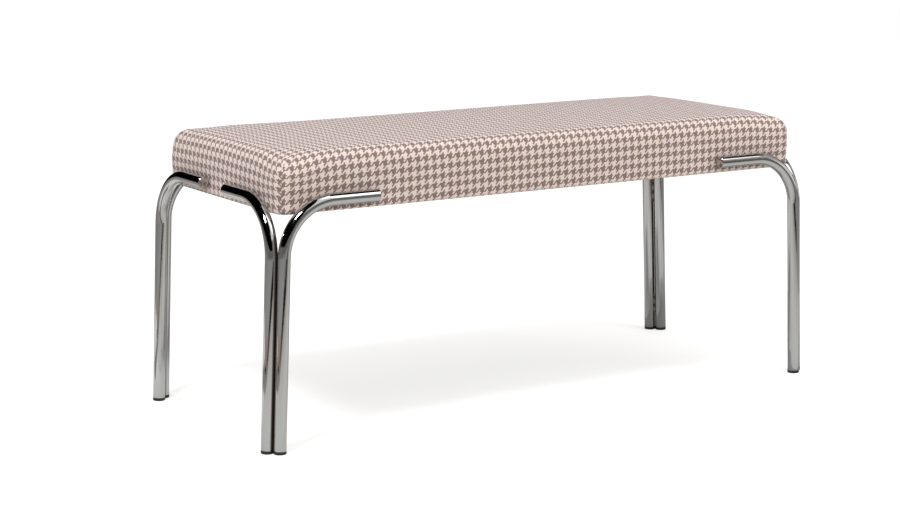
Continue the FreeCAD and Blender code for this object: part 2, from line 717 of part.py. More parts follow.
def seat_deck():
    """Plywood on the rails, with a row of air holes."""
    body = new_body("seat_deck")
    plan = sketch_on(body, "XY_Plane", "DeckPlan", ("0", "0", TIMBER_TOP))
    rounded_rectangle(plan, TIMBER_X, TIMBER_Y, TIMBER_RADIUS)
    pad(body, plan, "Sizes.deck_thickness")
    holes = sketch_on(body, "XY_Plane", "AirHole", ("0", "0", TIMBER_TOP))
    circle(holes, "-2 * Sizes.vent_spacing", "0", "Sizes.vent_diameter")
    hole = cut(body, holes, "Sizes.deck_thickness", along_normal=True)
    repeat(body, hole, [row_of(body, "X_Axis", "Sizes.vent_spacing", 5)])
    return body


# --------------------------------------------------------------------------------------
# Upholstery: foam, cover and dust cover.


def crowned_slab(body, inset, low):
    """The seat's outer form, drawn in by an inset and cut off level at a height.

    Its section has upright sides and a top that rises to the middle as one shallow arc.
    It is drawn out along X, and then its upright corners and top edge are rounded.
    """
    section = sketch_on(body, "YZ_Plane", "SeatSection")
    half = f"({HALF_WIDTH} - {inset})"
    shoulder = f"(Sizes.seat_underside + Sizes.seat_side - {inset})"
    # Arc through both shoulders and the crown: radius from half the chord and the rise.
    arc_radius = f"({half}^2 + Sizes.seat_crown^2) / (2 * Sizes.seat_crown)"
    wide, base, edge = value(half), value(low), value(shoulder)
    bend = value(arc_radius)
    reach = math.asin(wide / bend)
    middle = Vector(0, edge + value("Sizes.seat_crown") - bend, 0)
    ring = Part.Circle(middle, UP, bend)
    floor = section.addGeometry(Part.LineSegment(Vector(-wide, base, 0), Vector(wide, base, 0)))
    right = section.addGeometry(Part.LineSegment(Vector(wide, base, 0), Vector(wide, edge, 0)))
    top = section.addGeometry(
        Part.ArcOfCircle(ring, math.pi / 2 - reach, math.pi / 2 + reach))
    left = section.addGeometry(Part.LineSegment(Vector(-wide, edge, 0), Vector(-wide, base, 0)))
    for line, following in ((floor, right), (right, top), (top, left), (left, floor)):
        section.addConstraint(Sketcher.Constraint("Coincident", line, 2, following, 1))
    pin(section, floor, 1, f"-1 * {half}", low)
    pin(section, floor, 2, half, low)
    pin(section, right, 2, half, shoulder)
    pin(section, left, 1, f"-1 * {half}", shoulder)
    bind(section, Sketcher.Constraint("Radius", top, bend), arc_radius)
    pad(body, section, f"Sizes.seat_length - 2 * {inset}", both_ways=True)
    fillet(body, f"Sizes.corner_radius - {inset}", is_upright)
    # With the upright corners round, only the top's edges have their low end above this.
    fillet(body, f"Sizes.shoulder_radius - {inset}", lambda edge: edge.BoundBox.ZMin > base + SAME)


def foam_pad():
    """Foam over the deck, with a thin skirt down the outside of the timber."""
    body = new_body("foam_pad")
    crowned_slab(body, "Sizes.fabric", TIMBER_LOW)
    room = sketch_on(body, "XY_Plane", "TimberRoom", ("0", "0", TIMBER_LOW))
    rounded_rectangle(room, TIMBER_X, TIMBER_Y, TIMBER_RADIUS)
    cut(body, room, "Sizes.rail_height + Sizes.deck_thickness", along_normal=True)
    bolt_holes(body, BOLT_HOLE)
    return body


def fabric_cover():
    """The sewn cover: a thin hood over the foam, turned in under the rails as a hem."""
    body = new_body("fabric_cover")
    crowned_slab(body, "0", "Sizes.seat_underside")
    slab = body.Tip
    low = value("Sizes.seat_underside")
    floor = next(
        f"Face{n}" for n, face in enumerate(slab.Shape.Faces, start=1)
        if face.BoundBox.ZMax < low + SAME)
    hood = body.newObject("PartDesign::Thickness", "Hood")
    hood.Base = (slab, [floor])
    hood.Reversed = True
    hood.Mode = "Skin"
    hood.Join = "Intersection"
    hood.setExpression("Value", "Sizes.fabric")
    doc.recompute()

    hem = sketch_on(body, "XY_Plane", "Hem", ("0", "0", "Sizes.seat_underside"))
    rounded_rectangle(hem, f"({HALF_LENGTH})", f"({HALF_WIDTH})", "Sizes.corner_radius")
    opening = "Sizes.hem_width"
    rounded_rectangle(
        hem, f"({HALF_LENGTH} - {opening})", f"({HALF_WIDTH} - {opening})",
        f"Sizes.corner_radius - {opening}")
    pad(body, hem, "Sizes.fabric")
    bolt_holes(body, BOLT_HOLE)
    return body


def dust_cover():
    """Black cloth under the seat, over the hem and the timber."""
    body = new_body("dust_cover")
    plan = sketch_on(body, "XY_Plane", "ClothPlan", ("0", "0", "Sizes.seat_underside"))
    rounded_rectangle(
        plan, f"({HALF_LENGTH} - Sizes.dust_inset)", f"({HALF_WIDTH} - Sizes.dust_inset)",
        "Sizes.corner_radius - Sizes.dust_inset")
    cloth = pad(body, plan, "Sizes.dust_cloth")
    cloth.Reversed = True
    doc.recompute()
    return body


# --------------------------------------------------------------------------------------
# Build every piece, check it, and write one file for each.

pieces = leg_tubes() + weld_beads()
pieces += [foot_plugs(), arm_end_caps(), arm_inserts(), arm_washers(), arm_bolts()]
pieces += [long_rail("back_rail", 0), long_rail("front_rail", 180)]
pieces += [between_rails("right_end_rail", END_RAIL_X, 0, bolted=True)]
pieces += [between_rails("left_end_rail", END_RAIL_X, 180, bolted=True)]
pieces += [between_rails("right_cross_member", CROSS_X)]
pieces += [between_rails("left_cross_member", CROSS_X, 180)]
pieces += [frame_dowels()]
pieces += [corner_block(corner, side_x, side_y) for corner, side_x, side_y in CORNERS]
pieces += [seat_deck(), foam_pad(), fabric_cover(), dust_cover()]
doc.recompute()

for item in doc.Objects:
    if "Invalid" in item.State or "Error" in item.State:
        raise RuntimeError(f"{item.Label} has failed: {item.State}")
for piece in pieces:
    if piece.Shape.isNull() or not piece.Shape.isValid():
        raise RuntimeError(f"{piece.Label} has no valid shape")

os.makedirs("parts", exist_ok=True)
for piece in pieces:
    piece.Shape.exportStep(f"parts/{piece.Label}.step")
    print(f"{piece.Label}: {len(piece.Shape.Solids)} solid(s), {piece.Shape.Volume / 1000:.1f} cm3")
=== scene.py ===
# %% [markdown]
# # A hotel luggage bench, finished piece by piece
#
# The bench is a firm upholstered slab on eight bent chrome tubes. The exact pieces, such as the
# tubes, caps, plugs, bolts and timber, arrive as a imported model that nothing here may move. This
# lesson gives every one of them its finish, and makes the soft pieces that exact modelling
# leaves plain: the houndstooth cushion and the black cloth under it.
#
# All lengths are in metres, x along the bench, y from front to back, z up from the floor.

import math

import bpy
import numpy as np
from mathutils import Matrix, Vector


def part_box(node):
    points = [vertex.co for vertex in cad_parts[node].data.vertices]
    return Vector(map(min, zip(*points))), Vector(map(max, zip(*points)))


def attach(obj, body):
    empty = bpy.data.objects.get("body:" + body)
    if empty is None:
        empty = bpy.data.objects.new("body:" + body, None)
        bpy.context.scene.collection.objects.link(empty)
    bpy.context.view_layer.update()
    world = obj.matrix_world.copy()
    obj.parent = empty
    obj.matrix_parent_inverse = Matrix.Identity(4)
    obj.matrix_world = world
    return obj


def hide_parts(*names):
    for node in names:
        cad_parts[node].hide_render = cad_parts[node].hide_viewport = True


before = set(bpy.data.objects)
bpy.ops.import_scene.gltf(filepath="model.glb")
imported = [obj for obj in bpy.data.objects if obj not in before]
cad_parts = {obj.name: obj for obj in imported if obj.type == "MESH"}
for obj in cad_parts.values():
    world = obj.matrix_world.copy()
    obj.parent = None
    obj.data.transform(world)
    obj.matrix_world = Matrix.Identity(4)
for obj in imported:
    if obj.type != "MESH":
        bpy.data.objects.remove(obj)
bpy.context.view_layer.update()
print("packed pieces:", len(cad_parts))

# %% [markdown]
# ## The camera
#
# A product photographer stands in front of the bench and to its left, almost four metres away,
# and looks slightly down with a long lens, so the seat's front, left end and top all show and
# upright lines stay nearly parallel. Blender could aim a camera with a constraint, but a turn,
# a dip and a very small tilt written as numbers are exact and easy to change.

# %% Place the camera
LENS_LENGTH_MM = 92.265
SENSOR_WIDTH_MM = 36.0
CAMERA_PLACE = (-2.10120, -3.24829, 0.95069)
CAMERA_TURN = 0.5583211
CAMERA_DIP = 0.1841737
CAMERA_TILT = 0.0011759


def camera_axes(turn, dip, tilt):
    """The camera's right, up and forward directions.

    Forward is (sin turn cos dip, cos turn cos dip, -sin dip). Level right is square to it, up is
    right crossed with forward, and the tilt turns right and up about forward.
    """
    forward = np.array([math.sin(turn) * math.cos(dip), math.cos(turn) * math.cos(dip), -math.sin(dip)])
    level_right = np.array([math.cos(turn), -math.sin(turn), 0.0])
    level_up = np.cross(level_right, forward)
    right = math.cos(tilt) * level_right + math.sin(tilt) * level_up
    up = math.cos(tilt) * level_up - math.sin(tilt) * level_right
    return right, up, forward


right, up, forward = camera_axes(CAMERA_TURN, CAMERA_DIP, CAMERA_TILT)
camera_data = bpy.data.cameras.new("photographer")
camera_data.lens = LENS_LENGTH_MM
camera_data.sensor_width = SENSOR_WIDTH_MM
camera = bpy.data.objects.new("photographer", camera_data)
camera_pose = np.eye(4)
camera_pose[:3, :3] = np.column_stack([right, up, -forward])
camera_pose[:3, 3] = CAMERA_PLACE
camera.matrix_world = Matrix(camera_pose.tolist())
bpy.context.scene.collection.objects.link(camera)
bpy.context.scene.camera = camera
print("camera looks along", forward.round(3))

# %% [markdown]
# ## Small helpers
#
# Six helpers serve every later step. One turns an sRGB hex colour, which is how paint and cloth
# colours are usually written, into the linear light values that Blender mixes. One adds a node
# to a tree with its settings and links, and one starts a finish that has no nodes yet. One gives
# the faces of a grid of points, one turns faces over, and the last makes a mesh piece from arrays
# of points and faces.

# %% Colour, node and mesh helpers
SRGB_TOE = 0.04045


def linear(hex_colour):
    """An sRGB hex colour as linear red, green, blue, with alpha 1.

    A channel c up to 0.04045 becomes c / 12.92, and above it ((c + 0.055) / 1.055) to the 2.4.
    """
    channels = np.array([int(hex_colour[place : place + 2], 16) for place in (1, 3, 5)]) / 255
    curved = ((channels + 0.055) / 1.055) ** 2.4
    return (*np.where(channels <= SRGB_TOE, channels / 12.92, curved).tolist(), 1.0)


def add(tree, kind, inputs=None, **settings):
    """Adds a node of that kind to the tree, with its settings. Each input is linked or set."""
    node = tree.nodes.new(kind)
    for setting, value in settings.items():
        setattr(node, setting, value)
    for name, value in (inputs or {}).items():
        if isinstance(value, bpy.types.NodeSocket):
            tree.links.new(value, node.inputs[name])
        else:
            node.inputs[name].default_value = value
    return node


def empty_finish(name):
    """A new material without nodes, and its node tree."""
    finish = bpy.data.materials.new(name)
    finish.use_nodes = True
    finish.node_tree.nodes.clear()
    print("finish:", name)
    return finish, finish.node_tree


def quads(number):
    """The faces of a grid of point numbers.

    With the grid's first axis to the right and its second axis up, they turn anticlockwise.
    """
    corners = [number[:-1, :-1], number[1:, :-1], number[1:, 1:], number[:-1, 1:]]
    return np.stack(corners, axis=-1).reshape(-1, 4)


def turned_over(faces):
    """The same four-cornered faces seen from behind, so that they point the other way."""
    return faces[:, [0, 3, 2, 1]]


def new_piece(name, points, faces, finish):
    """A smooth mesh object at the origin, from rows of points and rows of corner numbers."""
    mesh = bpy.data.meshes.new(name)
    mesh.from_pydata(points.tolist(), [], [tuple(face) for face in faces])
    mesh.shade_smooth()
    mesh.materials.append(finish)
    piece = bpy.data.objects.new(name, mesh)
    bpy.context.scene.collection.objects.link(piece)
    print("piece:", name, "with", len(points), "points and", len(faces), "faces")
    return piece


# %% [markdown]
# ## The studio
#
# Chrome is a mirror, so a chrome object looks like what stands round it. The camera sees only
# white: a white floor and white surroundings. Reflections also see that white, but in front of it
# stand the things that a photographer really has round the set: black cards that give the metal
# its dark bands, grey walls, a sheet of paper with painted shade that darkens it away from the
# lamps, dark strips along the paper's edge, and the grey floor beyond it. Grey patches on the
# paper are painted shadow of the seat. These are hidden from the camera and cast no shadow. The
# floor keeps the bench's own faint shadow, and from below it can't be seen, so the underside can
# be looked at.
#
# Three soft boxes light the bench: a large one overhead, a small one high on the left, and a low
# one on the right, which only lifts the shade and stays out of the metal's reflections.

# %% White surroundings
AMBIENT_STRENGTH = 0.72


def seen_directly(tree):
    """A socket that is 1 for rays from the camera, a mirror or glass, and 0 for all others."""
    path = add(tree, "ShaderNodeLightPath")
    mirrored = add(tree, "ShaderNodeMath",
                   {0: path.outputs["Is Camera Ray"], 1: path.outputs["Is Glossy Ray"]}, operation="MAXIMUM")
    seen = add(tree, "ShaderNodeMath",
               {0: mirrored.outputs[0], 1: path.outputs["Is Transmission Ray"]}, operation="MAXIMUM")
    return seen.outputs[0]


world = bpy.data.worlds.new("studio")
world.use_nodes = True
sky = world.node_tree
sky.nodes.clear()
strength = add(sky, "ShaderNodeMapRange", {"Value": seen_directly(sky), "To Min": AMBIENT_STRENGTH})
white = add(sky, "ShaderNodeBackground", {"Color": linear("#ffffff"), "Strength": strength.outputs[0]})
add(sky, "ShaderNodeOutputWorld", {"Surface": white.outputs[0]})
bpy.context.scene.world = world
bpy.context.scene.view_settings.view_transform = "Standard"
print("surfaces are lit by", AMBIENT_STRENGTH, "of the white that the camera sees")

# %% The floor
FLOOR_REACH = 30.0
FLOOR_GLOW = 0.52
paint, tree = empty_finish("matt white studio floor paint")
side = add(tree, "ShaderNodeNewGeometry")
matt = add(tree, "ShaderNodeBsdfDiffuse", {"Color": linear("#d8d7d4")})
glow = add(tree, "ShaderNodeMath", {0: seen_directly(tree), 1: FLOOR_GLOW}, operation="MULTIPLY")
lifted = add(tree, "ShaderNodeEmission", {"Color": linear("#ffffff"), "Strength": glow.outputs[0]})
lit = add(tree, "ShaderNodeAddShader", {0: matt.outputs[0], 1: lifted.outputs[0]})
clear = add(tree, "ShaderNodeBsdfTransparent")
one_sided = add(tree, "ShaderNodeMixShader",
                {0: side.outputs["Backfacing"], 1: lit.outputs[0], 2: clear.outputs[0]})
add(tree, "ShaderNodeOutputMaterial", {"Surface": one_sided.outputs[0]})

corners = FLOOR_REACH * np.array([[-1, -1, 0], [1, -1, 0], [1, 1, 0], [-1, 1, 0]], float)
floor = new_piece("studio_floor", corners, [(0, 1, 2, 3)], paint)


# %% Helpers for what only reflections see
def flat_paint(name, colour):
    """A plain matt paint, for stage pieces only."""
    finish, tree = empty_finish(name)
    flat = add(tree, "ShaderNodeBsdfDiffuse", {"Color": linear(colour)})
    add(tree, "ShaderNodeOutputMaterial", {"Surface": flat.outputs[0]})
    return finish


def only_reflected(name, points, faces, finish):
    """A stage piece that reflections see, but not the camera, other surfaces or shadows."""
    sheet = new_piece(name, np.asarray(points, float), faces, finish)
    sheet.visible_camera = False
    sheet.visible_diffuse = False
    sheet.visible_shadow = False


def card(name, centre, across, upward, finish):
    """A flat rectangle, from its centre and its two half sides."""
    centre, across, upward = (np.array(v, float) for v in (centre, across, upward))
    points = [centre - across - upward, centre + across - upward, centre + across + upward,
              centre - across + upward]
    only_reflected(name, points, [(0, 1, 2, 3)], finish)


def floor_band(name, band, height, finish):
    """A flat band on the floor. Each row of the band is a point's x and y, and the width there.

    The band's edges lie half the width to either side, square to the line's direction there.
    """
    band = np.array(band)
    line = band[:, :2]
    onward = np.gradient(line, axis=0)
    onward /= np.linalg.norm(onward, axis=1, keepdims=True)
    sideways = np.column_stack([-onward[:, 1], onward[:, 0]]) * band[:, 2:] / 2
    points = np.vstack([line + sideways, line - sideways])
    count = np.arange(len(line) - 1)
    faces = np.column_stack([count, count + len(line), count + len(line) + 1, count + 1])
    only_reflected(name, np.column_stack([points, np.full(len(points), height)]), faces.tolist(), finish)


# %% Papers and paints
PAPER_OVAL = (0.8, 1.0, 0.0)
PALE_WITHIN, DARK_BEYOND = 0.55, 1.6
# The paper's colour is painted: pale near the bench and darker further out, a painted falloff of light.
paper, tree = empty_finish("white background paper with painted light falloff")
place = add(tree, "ShaderNodeTexCoord")
oval = add(tree, "ShaderNodeVectorMath", {0: place.outputs["Object"], 1: PAPER_OVAL}, operation="MULTIPLY")
away = add(tree, "ShaderNodeVectorMath", {0: oval.outputs[0]}, operation="LENGTH")
painted_falloff = add(tree, "ShaderNodeMapRange",
           {"Value": away.outputs["Value"], "From Min": PALE_WITHIN, "From Max": DARK_BEYOND})
tone = add(tree, "ShaderNodeMix", {"Factor": painted_falloff.outputs[0], 6: linear("#d6d5d2"), 7: linear("#a8a099")},
           data_type="RGBA")
flat = add(tree, "ShaderNodeBsdfDiffuse", {"Color": tone.outputs[2]})
add(tree, "ShaderNodeOutputMaterial", {"Surface": flat.outputs[0]})

black = flat_paint("black velvet card", "#050505")
dark_grey = flat_paint("dark grey card", "#3c3b3a")
grey_wall = flat_paint("grey studio wall paint", "#8e8d8b")
pale_wall = flat_paint("pale studio wall paint", "#dcdbd8")
white_paper = flat_paint("fresh white paper", "#ecebe8")
grey_floor = flat_paint("grey concrete floor paint", "#9c9c9b")
brown_board = flat_paint("brown hardboard", "#a08d80")
dark_edge = flat_paint("dark strip along the paper's edge", "#1c1713")
soft_shade = flat_paint("paper in soft shade", "#8d8b87")
seat_shade = flat_paint("paper in the seat's shade", "#abaaa8")

# %% Cards and papers
card("paper_on_floor", (0, 0, 0.002), (9.0, 0, 0), (0, 9.0, 0), paper)
card("grey_floor_in_front", (0, -5.7, 0.003), (8.0, 0, 0), (0, 4.1, 0), grey_floor)
card("grey_floor_left", (-4.8, -0.1, 0.003), (3.5, 0, 0), (0, 1.5, 0), grey_floor)
card("grey_floor_right", (4.8, -0.6, 0.003), (3.55, 0, 0), (0, 1.0, 0), grey_floor)
card("white_paper_left", (-0.8, 0.4, 0.0035), (0.6, 0, 0), (0, 0.42, 0), white_paper)
card("brown_board_left", (-1.43, -0.35, 0.004), (0.15, 0, 0), (0, 0.5, 0), brown_board)
card("black_card_behind", (0, 3.0, 1.95), (4.5, 0, 0), (0, 0, 1.75), black)
card("black_card_right_behind", (3.4, 2.2, 2.01), (1.5, -1.7, 0), (0, 0, 2.0), black)
card("black_card_above", (0, 1.85, 3.7), (4.5, 0, 0), (0, 1.75, 0), black)
card("black_card_above_right", (0.95, -0.42, 2.5), (0.55, 0, 0), (0, 0.56, 0), black)
card("grey_card_above_right", (2.1, -0.42, 2.5), (0.6, 0, 0), (0, 0.56, 0), dark_grey)
card("black_card_above_left", (-2.3, -2.1, 3.71), (2.1, 0, 0), (0, 2.2, 0), black)
card("black_card_left", (-4.2, -0.4, 2.3), (0, 3.8, 0), (0, 0, 1.4), black)
card("black_card_by_camera", (-2.5, -4.3, 2.3), (1.9, 0, 0), (0, 0, 1.4), black)
card("grey_wall_left", (-4.25, -0.4, 0.5), (0, 4.2, 0), (0, 0, 0.5), grey_wall)
card("grey_wall_by_camera", (-2.5, -4.35, 0.5), (2.2, 0, 0), (0, 0, 0.5), grey_wall)
card("grey_wall_in_front", (2.3, -4.3, 1.15), (2.9, 0, 0), (0, 0, 1.15), grey_wall)
card("pale_wall_right", (3.1, -1.3, 2.4), (0.6, 1.9, 0), (-0.5, 0, 1.0), pale_wall)

# %% Strips and shades on the floor
PAPER_EDGE = [(-1.24, -0.45, 0.08), (-1.21, -0.85, 0.2), (-1.12, -1.14, 0.36), (-0.97, -1.38, 0.5),
              (-0.5, -1.64, 0.52), (0.2, -1.68, 0.44), (0.65, -1.62, 0.36), (1.0, -1.46, 0.34),
              (1.25, -1.1, 0.2)]
THIN_EDGE = [(-1.18, 0.22, 0.075), (-1.22, -0.05, 0.075), (-1.23, -0.4, 0.075)]
# The soft shade and the shade by the back legs are painted shadow of the seat, laid on the paper for
# reflections only.
SEAT_SHADE = [(-0.72, 0.34, 0.2), (-0.93, 0.25, 0.22), (-1.07, 0.02, 0.22), (-1.13, -0.3, 0.2),
              (-1.12, -0.67, 0.16), (-0.98, -1.05, 0.12)]
BY_BACK_LEGS = [(0.38, -0.22), (0.75, -0.25), (1.4, -0.1), (1.4, 0.5), (0.6, 0.45), (0.42, 0.2)]
# Dark strips along the paper's edge, which only reflections see.
floor_band("dark_paper_edge", PAPER_EDGE, 0.006, dark_edge)
floor_band("thin_paper_edge", THIN_EDGE, 0.006, dark_edge)
floor_band("soft_shade_on_paper", SEAT_SHADE, 0.005, soft_shade)
shade_points = [(x, y, 0.0045) for x, y in BY_BACK_LEGS]
only_reflected("shade_by_back_legs", shade_points, [tuple(range(len(shade_points)))], seat_shade)


# %% Soft boxes
def soft_box(name, place, aim, width, height, watts):
    """A rectangular lamp at a place, facing its aim, as bright as its watts over its area."""
    lamp_data = bpy.data.lights.new(name, "AREA")
    lamp_data.shape = "RECTANGLE"
    lamp_data.size = width
    lamp_data.size_y = height
    lamp_data.energy = watts
    lamp = bpy.data.objects.new(name, lamp_data)
    back = np.array(place, float) - np.array(aim, float)
    back /= np.linalg.norm(back)
    level = np.cross([0.0, 0.0, 1.0], back)
    level /= np.linalg.norm(level)
    pose = np.eye(4)
    pose[:3, :3] = np.column_stack([level, np.cross(back, level), back])
    pose[:3, 3] = place
    lamp.matrix_world = Matrix(pose.tolist())
    lamp.visible_camera = False
    bpy.context.scene.collection.objects.link(lamp)
    print("lamp:", name, "with", watts, "W")
    return lamp


soft_box("overhead_soft_box", (1.15, -1.35, 2.7), (0.0, -0.1, 0.4), 1.7, 2.2, 19)
soft_box("left_soft_box", (-1.9, -1.0, 2.85), (0.0, 0.0, 0.4), 0.6, 0.6, 50)
right_box = soft_box("right_soft_box", (1.15, -0.95, 0.9), (0.35, -0.2, 0.42), 0.5, 0.5, 2.6)
right_box.visible_glossy = False

# %% [markdown]
# ## Chromed steel
#
# The tubes are steel, polished and then plated with nickel and a very thin layer of chromium.
# Chromium reflects a little over half of the light, slightly bluish. The buffing wheel leaves a
# faint haze that comes and goes over a few centimetres, so roughness wanders between narrow
# limits instead of being one number. In the groove between two tubes the metal is made rough and
# not metallic, and its colour is painted brownish black: painted shade of the narrow gap.

# %% Chrome
PAIR_X, PAIR_Y = 0.5028, 0.2028
ARM_HEIGHT, SPLAY_SLOPE = 0.387, 0.0384
DULL_AND_PAINTED_SHADE_WITHIN, SHINY_UNSHADED_BEYOND = 0.0062, 0.0088
GROOVE_ROUGHNESS = 0.55
CHROME_HAZE_MM = 35.0
CHROME_BUFFING_MM = 1.6
chrome, tree = empty_finish("polished chrome plating on steel tube")
place = add(tree, "ShaderNodeTexCoord")
haze = add(tree, "ShaderNodeTexNoise",
           {"Vector": place.outputs["Object"], "Scale": 1000 / CHROME_HAZE_MM, "Detail": 3.0})
polish = add(tree, "ShaderNodeMapRange", {"Value": haze.outputs["Fac"], "From Min": 0.3, "From Max": 0.7,
                                          "To Min": 0.045, "To Max": 0.1})
buffing = add(tree, "ShaderNodeTexNoise",
              {"Vector": place.outputs["Object"], "Scale": 1000 / CHROME_BUFFING_MM, "Detail": 2.0})
ripple = add(tree, "ShaderNodeBump",
             {"Height": buffing.outputs["Fac"], "Strength": 0.04, "Distance": 0.0002})
bright = add(tree, "ShaderNodeMix",
             {"Factor": haze.outputs["Fac"], 6: linear("#bebfc0"), 7: linear("#c7c7c6")}, data_type="RGBA")

# %% The painted shade in the groove between two tubes
# What counts is how far a point is from the line midway between the tubes, which leans outward.
axis = add(tree, "ShaderNodeSeparateXYZ", {0: place.outputs["Object"]})
line_x = add(tree, "ShaderNodeMath",
             {0: axis.outputs["Z"], 1: -SPLAY_SLOPE, 2: PAIR_X + SPLAY_SLOPE * ARM_HEIGHT},
             operation="MULTIPLY_ADD")
midway = add(tree, "ShaderNodeCombineXYZ", {"X": line_x.outputs[0], "Y": PAIR_Y, "Z": axis.outputs["Z"]})
folded = add(tree, "ShaderNodeVectorMath", {0: place.outputs["Object"]}, operation="ABSOLUTE")
away = add(tree, "ShaderNodeVectorMath", {0: folded.outputs[0], 1: midway.outputs[0]}, operation="DISTANCE")
plated = add(tree, "ShaderNodeMapRange",
             {"Value": away.outputs["Value"], "From Min": DULL_AND_PAINTED_SHADE_WITHIN, "From Max": SHINY_UNSHADED_BEYOND})
# Inside the groove the tone is brownish black: painted shade of the narrow gap between the tubes.
tone = add(tree, "ShaderNodeMix",
           {"Factor": plated.outputs[0], 6: linear("#3a2b21"), 7: bright.outputs[2]}, data_type="RGBA")
shine = add(tree, "ShaderNodeMix", {"Factor": plated.outputs[0], 2: GROOVE_ROUGHNESS, 3: polish.outputs[0]})
metal = add(tree, "ShaderNodeBsdfPrincipled",
            {"Base Color": tone.outputs[2], "Metallic": plated.outputs[0], "Roughness": shine.outputs[0],
             "Normal": ripple.outputs[0]})
add(tree, "ShaderNodeOutputMaterial", {"Surface": metal.outputs[0]})
print("chrome is dull up to", DULL_AND_PAINTED_SHADE_WITHIN * 1000, "mm from the line between two tubes")

# %% [markdown]
# ## Weld beads
#
# A weld bead was plated with the tubes but never polished, so it is rougher and browner. The
# filler rod is fed by hand, so the bead swells and thins along its length. That is a wave about
# every sixteen millimetres, bent by a little noise. Blender's wave turns by twenty radians for
# each unit at scale 1, which the scale takes into account.

# %% Plated weld
BEAD_WAVE_MM = 15.708
RADIANS_PER_UNIT = 20
bead_finish, tree = empty_finish("plated weld bead")
place = add(tree, "ShaderNodeTexCoord")
bead_scale = 1000 / BEAD_WAVE_MM * 2 * math.pi / RADIANS_PER_UNIT
scales = add(tree, "ShaderNodeTexWave",
             {"Vector": place.outputs["Object"], "Scale": bead_scale, "Distortion": 1.5, "Detail": 2.0},
             bands_direction="Z")
raised = add(tree, "ShaderNodeBump", {"Height": scales.outputs["Fac"], "Strength": 0.8, "Distance": 0.0006})
tone = add(tree, "ShaderNodeMix",
           {"Factor": scales.outputs["Fac"], 6: linear("#5c4838"), 7: linear("#a99c8c")}, data_type="RGBA")
metal = add(tree, "ShaderNodeBsdfPrincipled",
            {"Base Color": tone.outputs[2], "Metallic": 0.9, "Roughness": 0.38, "Normal": raised.outputs[0]})
add(tree, "ShaderNodeOutputMaterial", {"Surface": metal.outputs[0]})

# %% [markdown]
# ## End caps
#
# The caps are discs welded over the ends of the arms, ground flat, polished and plated. Grinding
# leaves fine marks all in one direction, which the polishing softens. So the caps still mirror
# the cloth beside them, a little less sharply than the tubes do. On caps, foot plugs and
# fasteners alike one pattern sets the tone, the roughness and the relief, so one function makes
# all three finishes.

# %% Ground and plated steel
GRINDING_MM, GRINDING_LENGTH_MM = 0.4, 16.667


def grained_finish(name, grain_mm, detail, tones, roughness, relief, base):
    """A finish whose tone, roughness and relief follow one noise.

    The grain's size is given along x, y and z. Tones and roughness are given where the noise is
    0 and where it is 1. Relief is a bump's strength and depth. The base holds other settings.
    """
    finish, tree = empty_finish(name)
    place = add(tree, "ShaderNodeTexCoord")
    laid = add(tree, "ShaderNodeMapping",
               {"Vector": place.outputs["Object"], "Scale": [1000 / size for size in grain_mm]})
    grain = add(tree, "ShaderNodeTexNoise", {"Vector": laid.outputs[0], "Scale": 1.0, "Detail": detail})
    tone = add(tree, "ShaderNodeMix",
               {"Factor": grain.outputs["Fac"], 6: linear(tones[0]), 7: linear(tones[1])}, data_type="RGBA")
    shine = add(tree, "ShaderNodeMapRange",
                {"Value": grain.outputs["Fac"], "To Min": roughness[0], "To Max": roughness[1]})
    bump = add(tree, "ShaderNodeBump",
               {"Height": grain.outputs["Fac"], "Strength": relief[0], "Distance": relief[1]})
    surface = add(tree, "ShaderNodeBsdfPrincipled",
                  {"Base Color": tone.outputs[2], "Roughness": shine.outputs[0],
                   "Normal": bump.outputs[0], **base})
    add(tree, "ShaderNodeOutputMaterial", {"Surface": surface.outputs[0]})
    return finish


cap_finish = grained_finish("ground and plated steel cap",
                            (GRINDING_MM, GRINDING_MM, GRINDING_LENGTH_MM), 3.0,
                            ("#aeaaa8", "#c2bfbd"), (0.1, 0.18), (0.3, 0.0001), {"Metallic": 1.0})

# %% [markdown]
# ## Black foot plugs
#
# The feet are pushed-in plugs of black polyethylene. The mould was spark-eroded, so the plastic
# has a fine even grain that breaks up its shine. Its base colour is near black but never zero.
# A picture of the grain would do too, but noise of the grain's real size needs no file and no
# unwrapping.

# %% Moulded plastic
MOULD_GRAIN_MM = 0.6
plastic = grained_finish("moulded black polyethylene", [MOULD_GRAIN_MM] * 3, 3.0,
                         ("#141414", "#222221"), (0.38, 0.6), (0.35, 0.0001), {"IOR": 1.51})

# %% [markdown]
# ## Zinc-plated fasteners
#
# The bolts, washers and threaded inserts sit inside the seat. They are barrel plated with zinc
# and passivated, which gives a satin blue-grey metal with small cloudy patches. The same noise,
# made coarser and with its relief turned off, gives the clouds.

# %% Zinc plating
ZINC_CLOUD_MM = 4.0
zinc = grained_finish("blue passivated zinc plating", [ZINC_CLOUD_MM] * 3, 4.0,
                      ("#a9adb3", "#c6c8c6"), (0.25, 0.5), (0.0, 0.0001), {"Metallic": 1.0})

# %% [markdown]
# ## Timber
#
# The hidden frame is planed softwood with a plywood deck and beech dowels. Wood grain is long
# and thin, so each pattern is noise that was stretched along the piece. Rails that run along
# the bench and rails that run across it need the same finish turned by a quarter, which one
# function with the grain's direction as its value gives.

# %% Softwood, beech and plywood
GRAIN_WIDTH_MM = 7.0
GRAIN_STRETCH = 14.0
BEECH_GRAIN_MM = 1.5
VENEER_GRAIN_MM = 9.0
PLY_THICKNESS_MM = 3.6


